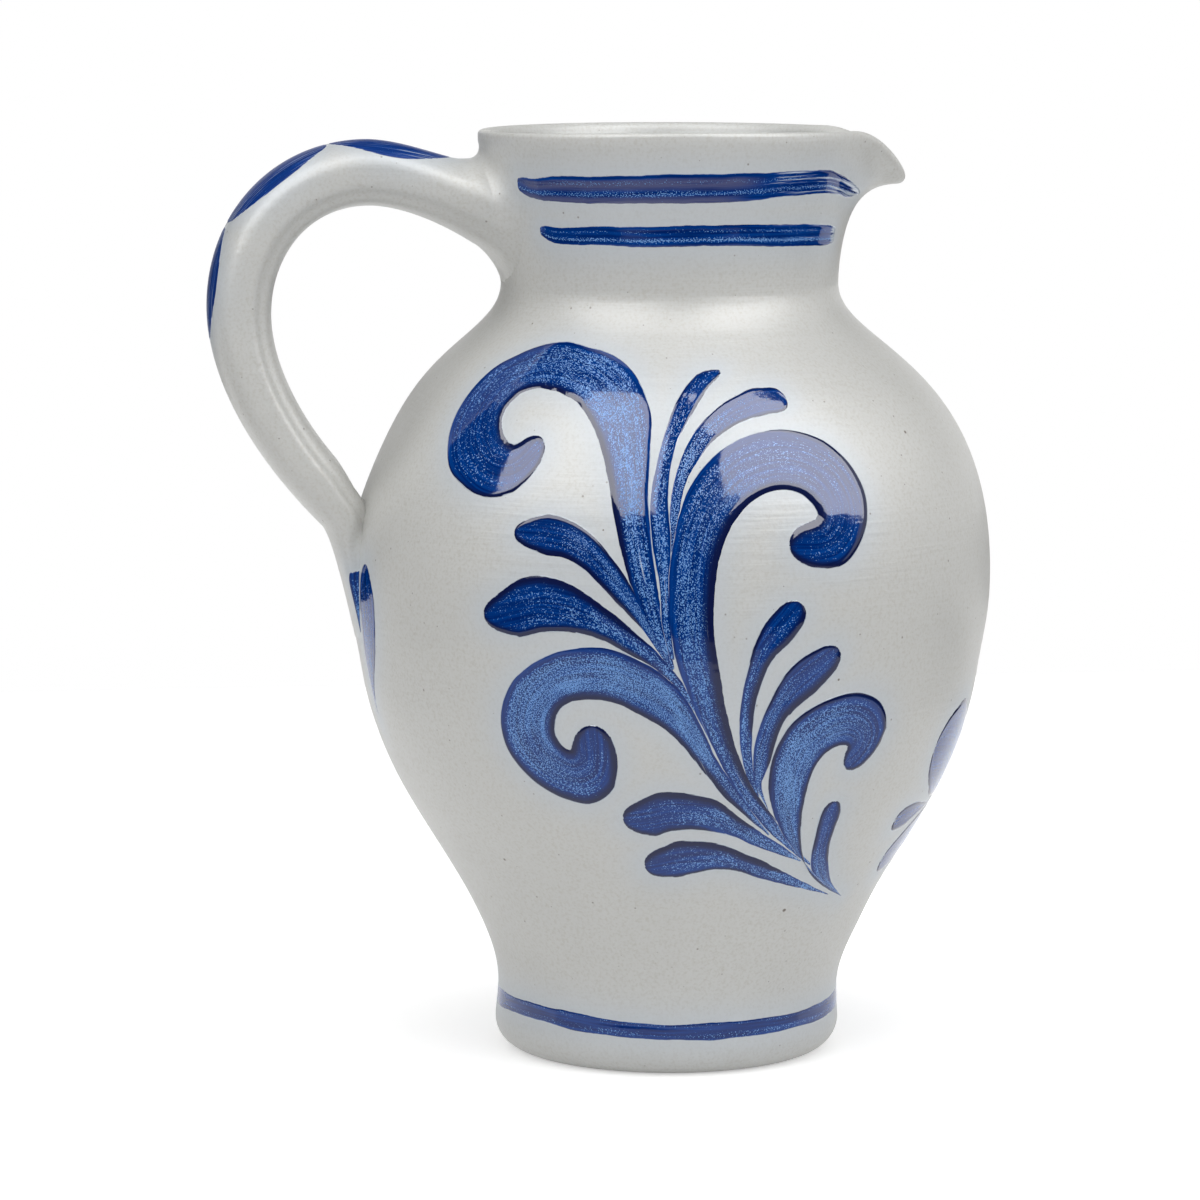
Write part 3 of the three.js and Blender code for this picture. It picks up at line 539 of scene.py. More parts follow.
def cobalt_slip(name, dullness):
    """Deep blue glass with pale worm-like flecks where the slip is thin and near-black where it pooled.
    Slip that was laid on thin comes out of the kiln dull."""
    material, tree, shader = new_material(name)

    def value(key, output="Fac"):
        return add_node(tree, "ShaderNodeAttribute", attribute_name=key).outputs[output]

    brush = value("brush", "Vector")
    pool, dry, bare, wash = (value(key) for key in ("pool", "dry", "bare", "wash"))
    skin = use_group(tree, kiln_skin, Lines=0.5, Peel=0.6)
    streaks = grain(tree, scaled(tree, brush, (1.6, 0.05, 7)), 1.0, 3.0)
    worms = grain(tree, scaled(tree, brush, (4.2, 3.1, 11)), 1.0, 0.0)
    patches = grain(tree, scaled(tree, brush, (0.25, 0.12, 3)), 1.0, 2.0)
    uneven = calc(tree, "MULTIPLY_ADD", calc(tree, "ADD", streaks, patches), 0.3, -0.425)
    wear = calc(tree, "MULTIPLY_ADD", dry, 0.24, uneven)
    fleck = step_up(tree, calc(tree, "ADD", worms, wear), 0.57, 0.72)
    blue = mix(tree, step_up(tree, streaks, 0.3, 0.7), (0.0, 0.017, 0.13, 1), (0.001, 0.047, 0.26, 1))
    thin = calc(tree, "MULTIPLY", wash, step_up(tree, streaks, 0.2, 0.5))
    washed = mix(tree, thin, blue, (0.085, 0.095, 0.2, 1))
    flecked = mix(tree, calc(tree, "MULTIPLY", fleck, 0.9), washed, (0.15, 0.34, 0.7, 1))
    ragged = calc(tree, "ADD", pool, calc(tree, "MULTIPLY_ADD", streaks, 0.3, -0.15))
    pooled = mix(tree, step_up(tree, ragged, 0.15, 1.25), flecked, (0.006, 0.006, 0.034, 1))
    rubbed = calc(tree, "ADD", bare, calc(tree, "MULTIPLY_ADD", streaks, 2.0, -1.0))
    worn = step_up(tree, rubbed, 0.45, 0.8)
    shown = mix(tree, worn, pooled, (0.5, 0.56, 0.64, 1))
    height = calc(tree, "SUBTRACT", skin["Height"], calc(tree, "MULTIPLY", fleck, 0.7))
    bump = add_node(tree, "ShaderNodeBump", {"Strength": 0.35, "Distance": 0.00005, "Height": height})
    tree.links.new(shown, shader.inputs["Base Color"])
    rough = calc(tree, "MULTIPLY_ADD", fleck, 0.25, 0.06 + 0.5 * dullness)
    tree.links.new(rough, shader.inputs["Roughness"])
    tree.links.new(bump.outputs[0], shader.inputs["Normal"])
    shader.inputs["Specular IOR Level"].default_value = 0.5 - 0.6 * dullness
    shader.inputs["IOR"].default_value = 1.5
    return material


glossy_slip = cobalt_slip("Cobalt slip", 0.0)


def edge_curve(knots, points, at):
    """A smooth line through points at their knots."""
    slope = np.gradient(points, knots, axis=0)
    k = np.clip(np.searchsorted(knots, at, side="right") - 1, 0, len(knots) - 2)
    span = (knots[k + 1] - knots[k])[:, None]
    t = ((at - knots[k])[:, None]) / span
    h00, h10 = 2 * t ** 3 - 3 * t ** 2 + 1, t ** 3 - 2 * t ** 2 + t
    h01, h11 = -2 * t ** 3 + 3 * t ** 2, t ** 3 - t ** 2
    return h00 * points[k] + h10 * span * slope[k] + h01 * points[k + 1] + h11 * span * slope[k + 1]


def round_head(left, right, following):
    """Cross lines that close a stroke with a half ellipse before its first rung."""
    middle, half = (left + right) / 2, (right - left) / 2
    ahead = np.array([-half[1], half[0]])
    if np.dot(ahead, following - middle) > 0:
        ahead = -ahead
    turns = np.radians([89, 80, 70, 58, 45, 32, 20, 10])[:, None]
    centre = middle + 0.85 * ahead * np.sin(turns)
    return centre - half * np.cos(turns), centre + half * np.cos(turns)


def cross_lines(rungs):
    """Both edges of a stroke, from the tip of its head to its tail."""
    rungs = np.array(rungs, float)
    left, right = rungs[:, :2], rungs[:, 2:]
    middle = (left + right) / 2
    knots = np.concatenate([[0], np.cumsum(np.linalg.norm(np.diff(middle, axis=0), axis=1))])
    at = np.linspace(0, knots[-1], max(12, int(knots[-1] / stroke_spacing)))
    left, right = edge_curve(knots, left, at), edge_curve(knots, right, at)
    head_left, head_right = round_head(left[0], right[0], (left[1] + right[1]) / 2)
    left, right = np.vstack([head_left, left]), np.vstack([head_right, right])
    outline = np.vstack([left[::-1], right])
    near_head = slice(len(left) - head_smoothing, len(left) + head_smoothing)
    for _ in range(head_smoothing):
        inner = outline[near_head]
        inner[1:-1] = (inner[:-2] + 2 * inner[1:-1] + inner[2:]) / 4
    return outline[:len(left)][::-1], outline[len(left):]


def bristle_edge(left, right, seed):
    """The slight unevenness of an edge that hairs have drawn."""
    random = np.random.default_rng(seed)
    aside = right - left
    aside /= np.linalg.norm(aside, axis=1, keepdims=True) + 1e-9
    waves = [np.convolve(random.normal(size=len(left) + 4), np.ones(5) / 5, "valid") for _ in range(2)]
    return [edge + aside * bristle_jitter * wave[:, None] for edge, wave in zip((left, right), waves)]


def stroke_values(left, right, pools, seed, dark=1.0, dryness=1.0, dry_run=0.6, dry_lines=None, washes=(),
                  closed=False, bare=((0, 0.5, 0.8, 1), (0, 0, 0.2, 0.34))):
    """Texture place, pooling, dryness, bareness, wash and lift at each crosswise point of each cross line."""
    (left_pool, left_run), (right_pool, right_run) = pools
    half = np.linalg.norm(right - left, axis=1)[:, None] / 2
    middle = (left + right) / 2
    along = np.concatenate([[0], np.cumsum(np.linalg.norm(np.diff(middle, axis=0), axis=1))])[:, None]
    share = along / along[-1]
    from_head = along + (without_head if closed else 0)
    from_left, from_right = half * (1 + crosswise), half * (1 - crosswise)

    def pooled(distance, width, run):
        reach = width * (1 - smooth((share - run) / 0.25)) + 1e-3
        dark_edge = smooth(1.3 - distance / reach) * np.clip(reach / 1.2, 0, 1)
        falling = 1 - 0.85 * smooth((distance - 0.5 * reach) / (0.9 * reach))
        raised = smooth(distance / (0.5 * reach)) * falling
        return dark_edge, bead_slope * np.minimum(reach, half) * raised

    left_dark, left_bead = pooled(from_left, left_pool, left_run)
    right_dark, right_bead = pooled(from_right, right_pool, right_run)
    head_dark, _ = pooled(from_head + np.zeros_like(half), 0.7 * max(left_pool, right_pool), 2.0)
    edge = np.minimum(np.minimum(from_left, from_right), from_head)
    pool = dark * np.maximum(np.maximum(left_dark, right_dark), 0.6 * head_dark)
    narrow = np.clip(half / 5, 0.12, 1)
    drawn_out = 1 if closed else 1 - 0.75 * smooth((share - 0.45) / 0.4)
    pool = np.maximum(pool, 0.45 * drawn_out * (1 - smooth((edge / narrow - 0.3) / 0.8)))
    rim = smooth((edge / narrow - 0.4) / 2)
    dry = rim * dryness * (0.05 + 0.85 * smooth(share / dry_run)) * (1 - pool) - 0.7 * (1 - rim)
    if dry_lines:
        dry = np.full_like(pool, -0.4)
        for place, strength, width in dry_lines:
            dry += strength * np.exp(-((crosswise - place) / width) ** 2)
    wash = np.zeros_like(pool)
    for first, last, run in washes:
        inside = smooth((crosswise - first) / 0.16) * smooth((last - crosswise) / 0.16)
        wash = np.maximum(wash, inside * smooth((run - share) / 0.1) * smooth(share / 0.05))
    bare = np.maximum(np.interp(share, *bare), 0.95 * (1 - smooth(edge / 0.4)))
    brush = np.stack(np.broadcast_arrays(half * crosswise, along, seed * 1.7), axis=-1)
    lift = -film_sink + (film + film_sink) * (1 - np.exp(-edge / 0.7)) + left_bead + right_bead
    values = {"brush": brush, "pool": pool, "dry": dry, "bare": bare, "wash": wash}
    return values, lift


def under(values):
    """Repeats the outer values for the two points that close a cross line inside the clay."""
    return np.concatenate([values, values[:, -1:], values[:, :1]], axis=1)


def brush_stroke(node, edges, surface, pools, seed, layer=0.0, slip=glossy_slip, part="", **look):
    """Lays one stroke on a surface that maps two flat coordinates and a lift to points."""
    left, right = bristle_edge(*edges, seed)
    across = ((1 + crosswise) / 2)[None, :, None]
    flat = left[:, None] * (1 - across) + right[:, None] * across
    skin = surface(flat[..., 0], flat[..., 1], np.zeros(flat.shape[:2]))
    values, lift = stroke_values(skin[:, 0], skin[:, -1], pools, seed, **look)
    top = surface(flat[..., 0], flat[..., 1], lift + layer)
    inside = surface(flat[..., [-3, 2], 0], flat[..., [-3, 2], 1], np.full((len(flat), 2), -0.4))
    piece = make_piece(f"{part}{node}_slip", np.concatenate([top, inside], axis=1), slip,
                       **{key: under(value) for key, value in values.items()})
    put_on(piece, "cobalt_slip", node)
    painted.extend(skin[:, [0, 4, 8, 12, 16]].reshape(-1, 3))


def wall_surface(angle_of):
    """The wall as a flat grid: a place along it, from which comes its angle, and a height."""
    return lambda u, height, lift: on_wall(angle_of(u), height, lift)


def paint_both_sides(strokes, near_angle):
    """A motif on the near side, and its mirror image on the far side."""
    for side, angle_of in (("near", near_angle), ("far", lambda u: np.pi - near_angle(u))):
        for k, (name, stroke) in enumerate(strokes.items()):
            look = {"dryness": usual_dryness, **stroke}
            edges = cross_lines(look.pop("rungs"))
            brush_stroke(f"{side}_{name}", edges, wall_surface(angle_of), layer=layer_step * (k % 5),
                         seed=k + (1 if side == "near" else 41), **look)


# Spray on each broad side: four curls and nine leaves of cobalt slip that spring from one stem. Each is one
# pull of the brush, from a pressed round head to a lifted tail, given as rungs [along, up, along, up] across
# it. Pools are the width of the dark edge on the first and second side, and how far along it runs.

spray = {
    "stem_curl": {"pools": ((3.6, 0.66), (2.4, 0.1)), "rungs": [
        [20.6, 133.9, 21.2, 124.7], [23.4, 134.4, 26, 123.3], [25.2, 135.4, 32.5, 124.7],
        [25.3, 136.3, 38.2, 131.2], [24.3, 138.2, 40, 139], [22, 140.2, 38, 145.4],
        [18.4, 141.4, 32, 151.4], [14.5, 141.3, 22, 154.4], [10.5, 139.9, 11.3, 153.8],
        [7, 137.4, 3, 150.8], [4, 133.8, -3.5, 145.9], [1.9, 129.5, -7.5, 139.5],
        [0.5, 124.5, -10, 130], [-0.3, 117, -11, 120], [-0.2, 109, -10.4, 110.5],
        [1.2, 101.5, -8.6, 102], [3, 92.5, -5.2, 93], [6, 82.8, -0.3, 83.5], [11, 73.8, 6, 73],
        [19.5, 64.6, 16, 63], [31, 55.6, 29.5, 54.6], [45, 48.4, 44.8, 48]]},
    "upper_curl": {"pools": ((2.6, 0.7), (1.6, 0.06)), "rungs": [
        [-49.2, 152.9, -43.6, 147], [-51.6, 151.1, -47.5, 141.8], [-55, 151.6, -54.5, 139.1],
        [-57.7, 153.9, -63.5, 140.3], [-59.4, 156.8, -73, 146.4], [-59.2, 159.2, -78, 157],
        [-57.5, 161.4, -76.5, 165.2], [-54, 162.6, -68, 170], [-49, 162.8, -55, 172.8],
        [-42, 161.6, -42, 172.1], [-36.3, 159.4, -30, 170.3], [-31.3, 155, -21.5, 166.3],
        [-28.2, 150.3, -16.2, 159.5], [-25.6, 143.5, -15.4, 150], [-23.8, 136, -15.6, 141],
        [-21.6, 127.5, -14.6, 131], [-19, 119.5, -13.4, 122], [-15.6, 111.5, -11.8, 112.5],
        [-10.2, 101.5, -9.2, 101.9]]},
    "lower_curl": {"pools": ((2.4, 0.8), (2.6, 0.14)), "dryness": 1.2, "dry_run": 0.3, "rungs": [
        [-34.4, 84.6, -23.7, 84.2], [-34.6, 82.9, -22.9, 79.5], [-35.2, 82.3, -24.6, 73.2],
        [-36.2, 82.5, -30.5, 69.2], [-37.3, 83.5, -38.6, 70], [-38.1, 85, -47, 74.3],
        [-38.5, 87, -52.6, 81.5], [-38, 89.6, -53, 89.5], [-36.6, 91.8, -49.5, 96.8],
        [-33.6, 93.6, -42, 102.9], [-29, 94.3, -33, 106.2], [-23.5, 93.6, -25, 106.5],
        [-18, 91.2, -19, 104.6], [-12.5, 88.1, -13, 101.2], [-8.2, 84.4, -7.2, 95.6],
        [-4.2, 79.8, -3, 88.4], [-0.4, 75.4, 1.5, 80], [3.4, 71.1, 7.5, 72.6], [9.5, 66.5, 12, 67.2],
        [18, 60.8, 18.4, 61.2]]},
    "small_curl": {"pools": ((1.6, 0.8), (1.7, 0.4)), "dryness": 1.2, "dry_run": 0.35, "rungs": [
        [36.3, 81, 40.8, 75.5], [36.2, 81.4, 45.5, 77.9], [36, 81.7, 48.3, 84.5],
        [35.2, 81.9, 45.8, 90.6], [33.6, 81.8, 38.5, 94.2], [31.4, 81.2, 31, 94],
        [29.4, 79.8, 24.5, 91.8], [27.8, 77.4, 19.2, 88.1], [26.9, 74.3, 15.8, 82.5],
        [26.6, 70.5, 14.9, 75], [27.1, 65, 17.4, 67.6], [28.8, 60, 22, 61.4], [32, 54.6, 28, 56.4],
        [38, 49.2, 36.5, 51], [47, 45.2, 46.5, 46.3], [58.5, 41.9, 58.3, 42.2]]},
    "first_top_leaf": {"pools": ((0.9, 0.2), (1.2, 0.15)), "rungs": [
        [5.2, 167.6, 5.8, 166.2], [-0.4, 167.1, 1.5, 163.9], [-5, 164.6, -2.1, 160.6],
        [-9, 160.3, -5.6, 156.6], [-11.7, 154.8, -8.3, 152.9], [-13.8, 148.5, -10.2, 147.2],
        [-15.3, 140, -10.8, 140], [-14.6, 130, -10.2, 130], [-13, 121, -10.6, 121],
        [-12.4, 112, -10.2, 112], [-10.6, 104, -9.4, 104]]},
    "second_top_leaf": {"pools": ((1.0, 0.35), (1.2, 0.35)), "rungs": [
        [22.6, 163.6, 22.4, 158.2], [16, 163.6, 16.4, 157.6], [8.5, 161.9, 9.5, 156.4],
        [2, 159.1, 4, 154.3], [-3.4, 155.3, -0.6, 151.2], [-7.4, 150, -4.2, 147.2],
        [-9.8, 144, -6.8, 142.4], [-11, 135, -8.4, 134], [-10.6, 124, -9.4, 123.6]]},
    "first_left_leaf": {"pools": ((1.6, 0.5), (2.0, 0.55)), "rungs": [
        [-46, 134.4, -46.2, 129], [-40, 136.2, -40, 127], [-34, 135, -35, 126.5],
        [-28.6, 132, -30, 123.8], [-23.8, 127.2, -25.8, 119.9], [-20, 122, -21.6, 115.7],
        [-16.6, 115.6, -17.2, 111.2], [-12.6, 107.5, -13.2, 105.6], [-7.5, 97.5, -8, 96.8]]},
    "second_left_leaf": {"pools": ((2.8, 0.5), (2.2, 0.55)), "rungs": [
        [-53, 116.6, -52.4, 109.2], [-47.5, 120.7, -47, 108], [-40, 122.4, -40, 109.4],
        [-33, 120.6, -33, 109.8], [-26, 116.4, -26.4, 108.4], [-19.5, 111.4, -20.4, 105.2],
        [-13, 105.4, -14, 101.8], [-7.5, 98.6, -9, 97], [-1.5, 88.5, -2.2, 88]]},
    "first_right_leaf": {"pools": ((1.2, 0.3), (2.4, 0.5)), "rungs": [
        [15.4, 116.2, 21.6, 111.9], [11.5, 112.4, 17.5, 107.1], [9, 107, 14, 103.8],
        [7.4, 100.6, 11.6, 98.9], [6.3, 92, 9.9, 91], [6.6, 83.5, 9.8, 83.5], [8.9, 76, 11.2, 76.4],
        [13, 69.6, 13.8, 69.9]]},
    "second_right_leaf": {"pools": ((1.4, 0.4), (3.0, 0.55)), "rungs": [
        [26.5, 106.2, 30.6, 100.4], [21.5, 104, 26, 95.8], [17, 100.2, 21, 92.2],
        [13.6, 94, 17.4, 88.4], [11.2, 88, 15.9, 83.6], [10.2, 81, 14.6, 78], [11.3, 74.5, 13.5, 74],
        [16, 67.5, 16.6, 67.2]]},
    "first_low_leaf": {"pools": ((2.8, 0.5), (1.8, 0.3)), "rungs": [
        [-20.8, 69.2, -20.6, 62.5], [-15.2, 72, -15.5, 61.2], [-9.5, 72.6, -9.8, 62.6],
        [-3, 71.8, -3.5, 62.9], [3, 69.9, 2.5, 62.2], [8.6, 66, 8, 60.8], [15, 62.3, 14, 58.3],
        [22.5, 58.6, 21.5, 55.8], [32, 53.8, 31.5, 53]]},
    "second_low_leaf": {"pools": ((2.8, 0.5), (1.3, 0.4)), "rungs": [
        [-16, 57.2, -15.5, 50.9], [-9.5, 59.9, -9, 50.6], [-3, 60.2, -2.8, 51.6], [4, 59.3, 4.4, 52.5],
        [11, 57, 11.2, 51.7], [19, 54.1, 19, 49.6], [28, 50.6, 28, 47.5], [38, 47.1, 37.5, 45.5],
        [51, 43.2, 50.8, 42.8]]},
    "third_low_leaf": {"pools": ((1.5, 0.3), (1.6, 0.4)), "rungs": [
        [32.4, 65.6, 40.2, 65.4], [33.2, 60.8, 40, 60], [34.2, 55.6, 41.2, 55.6],
        [36.8, 51, 44.2, 51.1], [42.6, 47.3, 48.6, 46.9], [51, 44.2, 53.5, 44.3],
        [59, 41.8, 59.2, 41.9]]},
}
paint_both_sides(spray, lambda u: FRONT + u / grid_radius)


# Sprig under the spout: two mirrored halves of three petals in the same cobalt slip. Each is drawn from
# its round head inwards, and the tails meet on the line below the spout.

sprig = {
    "round_petal": {"pools": ((1.4, 0.5), (1.4, 0.5)), "rungs": [
        [-40.4, 85, -42, 67.8], [-33, 87.2, -35, 64], [-24, 82, -26, 62.6], [-15, 71, -16.4, 62],
        [-7, 64, -7.4, 61.6], [-0.2, 61.6, -0.2, 60.9]]},
    "slim_leaf": {"pools": ((1.2, 0.4), (1.6, 0.5)), "rungs": [
        [-51.4, 63, -51.8, 56.8], [-45, 63.6, -45, 57.4], [-37, 62.6, -37, 59.4],
        [-25, 61.5, -25, 60.4], [-0.2, 61, -0.2, 60.5]]},
    "low_petal": {"pools": ((1.2, 0.5), (1.4, 0.5)), "rungs": [
        [-43.2, 53.6, -42.4, 45.4], [-38, 57, -35, 46], [-30, 59.6, -26, 50], [-20, 60.6, -17, 55.6],
        [-9, 60.9, -8.4, 58.8], [-0.2, 61, -0.2, 60]]},
}
paint_both_sides(sprig, lambda u: SPOUT + u / grid_radius)


# Tail leaves: on each side of the handle's tail one upright leaf of cobalt slip on the belly, and beside
# it a slim and thinner one on the tail itself, both drawn downwards to a point.

tail_half_width = 10.5
slim_leaf_start, slim_leaf_length = 0.905, 0.09
tail_slip = cobalt_slip("Thin cobalt slip on the tail", 0.5)
tail_leaves = {
    "tail_leaf": {"pools": ((1.2, 0.5), (0.8, 0.8)), "dryness": 0.6, "rungs": [
        [4.4, 117.2, 10.8, 117.6], [3.7, 115.2, 12.5, 115.8], [3.6, 112, 13.8, 112.4],
        [3.2, 108, 13.9, 108], [2.3, 103.6, 12.9, 104.2], [0.6, 99, 11, 99.8], [-0.2, 94.6, 8, 95.2],
        [0.4, 90, 4.9, 90.6], [1, 85.6, 2.8, 86], [1.5, 81.6, 1.9, 81.8]]},
}
paint_both_sides(tail_leaves, lambda u: HANDLE + (tail_half_width + u) / grid_radius)


def strap_surface(share, turn, lift):
    return strap_skin(share, np.radians(turn), lift)


def paint_slim_tail_leaf(side, mirrored, seed, steps=40):
    along = np.linspace(0, 1, steps)
    share = slim_leaf_start + slim_leaf_length * along
    outer, inner = 132 + 18 * (1 - along) ** 9, 178 - 36 * along ** 2
    edges = [np.stack([share, 180 - turn if mirrored else turn], axis=1) for turn in (outer, inner)]
    brush_stroke(f"{side}_tail_leaf", edges, strap_surface, ((0.6, 2), (0.6, 2)), seed,
                 slip=tail_slip, part="slim_", dark=0.4)


paint_slim_tail_leaf("near", mirrored=False, seed=81)
paint_slim_tail_leaf("far", mirrored=True, seed=82)


# Bands: two strokes of cobalt slip on each side of the neck, from beside the handle to the spout, where the
# brush runs dry, given as rungs [degrees, upper edge, lower edge], and one closed ring above the foot, drawn
# with the jug turning on the wheel.

upper_band = [
    [-61, 210, 206.5], [-58, 210.2, 205.6], [-54, 210, 205], [-50, 210.3, 204.6], [-45, 210.7, 204.5],
    [-33, 210.9, 204.4], [-20, 211.2, 204.6], [-8, 211.6, 204.7], [4, 211.6, 204.7], [14, 211.7, 204.9],
    [20.5, 211.6, 205.1], [25, 211.7, 205.5], [32, 211.8, 205.8], [40, 211.9, 206], [50, 211.5, 206],
    [57, 210.3, 205.4], [67, 208.5, 204.5], [77, 207.2, 206]]
lower_band = [
    [-53.4, 198.9, 196.5], [-51.5, 199.1, 195.6], [-49, 199, 195], [-46, 198.8, 194.7],
    [-40, 199, 194.6], [-30, 199.5, 194.7], [-20, 199.5, 194.5], [0, 199.8, 194.7], [18, 199.8, 194.6],
    [30, 199.6, 194.2], [45, 199.2, 193.9], [56, 198.5, 193.8], [60, 198, 194.2]]


def paint_neck_band(node, rungs, pools, seed, steps=220, **look):
    rungs = np.array(rungs)
    along = np.linspace(0, 1, steps) ** 1.3
    degrees = rungs[0, 0] + (rungs[-1, 0] - rungs[0, 0]) * along
    upper, lower = (edge_curve(rungs[:, 0], rungs[:, k:k + 1], degrees)[:, 0] for k in (1, 2))
    for side, angle in (("near", np.radians(degrees)), ("far", np.pi - np.radians(degrees))):
        edges = [np.stack([angle * grid_radius, edge], axis=1) for edge in (upper, lower)]
        head = round_head(edges[0][0], edges[1][0], (edges[0][1] + edges[1][1]) / 2)
        edges = [np.vstack([first, rest]) for first, rest in zip(head, edges)]
        brush_stroke(node, edges, wall_surface(lambda u: u / grid_radius), pools, seed + (side == "far"),
                     part=f"{side}_", **look)


paint_neck_band("upper_neck_band", upper_band, ((1.0, 2), (0.8, 2)), 90, dark=0.35,
                dry_lines=((-0.45, 0.9, 0.16), (0.33, 1.5, 0.18)),
                washes=((-0.72, 0.08, 0.62), (0.5, 1.2, 0.58)),
                bare=((0, 0.56, 0.64, 0.8, 0.9, 1), (0, 0, 0.36, 0.42, 0.55, 0.8)))
paint_neck_band("lower_neck_band", lower_band, ((0.9, 2), (0.9, 2)), 93, dark=0.35,
                dry_lines=((-0.45, 1.0, 0.16), (0.35, 1.8, 0.18)),
                bare=((0, 0.6, 0.75, 0.96, 1), (0, 0, 0.16, 0.2, 0.9)))


foot_band_height, foot_band_half = 11.9, 2.05


def paint_foot_band(steps=420):
    """The closed ring: its rings of points follow it round the foot and meet again."""
    angle = HANDLE + np.linspace(0, 2 * np.pi, steps)
    middle = foot_band_height - np.cos(2 * angle - 0.4) + 0.15 * np.sin(5 * angle)
    half = foot_band_half + 0.12 * np.sin(7 * angle) + 0.08 * np.sin(16 * angle)
    edges = [np.stack([angle * grid_radius, middle + sign * half], axis=1) for sign in (1, -1)]
    brush_stroke("foot_band", edges, wall_surface(lambda u: u / grid_radius), ((0.6, 2), (0.6, 2)), 96,
                 dark=0.2, dry_lines=((0.45, 0.9, 0.3), (-0.7, 0.7, 0.2)), closed=True, bare=((0, 1), (0, 0)))


paint_foot_band()


# Handle leaves: three strokes of thin cobalt slip along the strap's outer face, laid on by rolling the brush
# from the neck outwards, so that each is full in its middle and narrow at both ends. Each has its first and
# last share of the strap's length, its half width in degrees round the strap, and its fullness.

handle_leaves = {"crown_leaf": (0.065, 0.226, 58, 0.7), "shoulder_leaf": (0.229, 0.398, 53, 0.5),
                 "side_leaf": (0.404, 0.555, 38, 0.75)}
strap_slip = cobalt_slip("Thin cobalt slip on the strap", 0.6)


def paint_handle_leaf(node, first, last, half_turn, fullness, seed, steps=60):
    share = np.linspace(0, 1, steps)
    spread = half_turn * np.sin(np.pi * share) ** fullness + 1.5
    edges = [np.stack([first + (last - first) * share, 90 + sign * spread], axis=1) for sign in (-1, 1)]
    brush_stroke(node, edges, strap_surface, ((0.8, 2), (0.8, 2)), seed, slip=strap_slip, dark=0.3,
                 dry_lines=((-0.5, 0.4, 0.14), (0.1, 0.5, 0.14), (0.6, 0.4, 0.14)),
                 bare=((0, 0.5, 1), (0.36, 0.28, 0.34)))


for count, (node, leaf) in enumerate(handle_leaves.items()):
    paint_handle_leaf(node, *leaf, seed=100 + count)


# Haze: cobalt fumes in the kiln and leaves a cool whitish bloom on the clay close to every stroke, which
# fades out within a few millimetres.

haze_reach, haze_strength = 4.5, 0.62


def add_haze(piece):
    tree = KDTree(len(painted))
    for k, point in enumerate(painted):
        tree.insert(point, k)
    tree.balance()
    distance = np.array([tree.find(vertex.co / MM)[2] for vertex in piece.data.vertices])
    haze = piece.data.attributes.new("haze", "FLOAT", "POINT")
    fading = np.exp(-(distance / haze_reach) ** 1.5).astype(np.float32)
    haze.data.foreach_set("value", fading * haze_strength)


add_haze(thrown_body)
add_haze(pulled_handle)


# Table and surround: a white table top that ends a little in front of the jug, and white all round. Dark
# cloth hangs in front, above, at the left and behind, and lies beside the jug. Only gloss shows the cloth,
# so that the slip mirrors the two softboxes and the table's edge.

table_front, table_back, table_side = -0.43, 0.6, 2.0
on_table, open_side, shade_front, shade_back = 0.002, 0.3, -0.29, -0.03
cloth_front, cloth_side, cloth_back, cloth_top = -2.2, 4, 2, 3.2


def between(low, high):
    """Corners of a sheet that lies level or hangs straight between two opposite corners."""
    first, second = (axis for axis in range(3) if low[axis] != high[axis])
    corners = [list(low), list(low), list(high), list(low)]
    corners[1][first] = high[first]
    corners[3][second] = high[second]
    return corners


def plain_sheet(name, corners, material):
    mesh = bpy.data.meshes.new(name)
    mesh.from_pydata(corners, [], [tuple(range(len(corners)))])
    mesh.materials.append(material)
    sheet = bpy.data.objects.new(name, mesh)
    bpy.context.collection.objects.link(sheet)
    return sheet


def seen_directly(tree):
    """1 for rays from the camera or by way of a mirror or glass, 0 for light that only falls on things."""
    path = add_node(tree, "ShaderNodeLightPath").outputs
    seen = calc(tree, "MAXIMUM", path["Is Camera Ray"], path["Is Glossy Ray"])
    return calc(tree, "MAXIMUM", seen, path["Is Transmission Ray"])


def white_table_top():
    material, tree, shader = new_material("White table top")
    shader.inputs["Base Color"].default_value = (0.85, 0.85, 0.85, 1)
    shader.inputs["Roughness"].default_value = 0.8
    shader.inputs["Specular IOR Level"].default_value = 0.1
    shader.inputs["Emission Color"].default_value = (1, 1, 1, 1)
    tree.links.new(calc(tree, "MULTIPLY", seen_directly(tree), 0.45), shader.inputs["Emission Strength"])
    return material


def even_sheet(name, glow):
    """Cloth or diffuser of one brightness, black where it doesn't glow."""
    material, tree, shader = new_material(name)
    shader.inputs["Base Color"].default_value = (0, 0, 0, 1)
    shader.inputs["Specular IOR Level"].default_value = 0.0
    shader.inputs["Emission Color"].default_value = (1, 1, 1, 1)
    shader.inputs["Emission Strength"].default_value = glow
    return material


def mirrored_only(sheet):
    """What only the glossy slip and glaze show."""
    sheet.visible_camera = False
    sheet.visible_diffuse = False
    sheet.visible_shadow = False
    sheet.visible_transmission = False


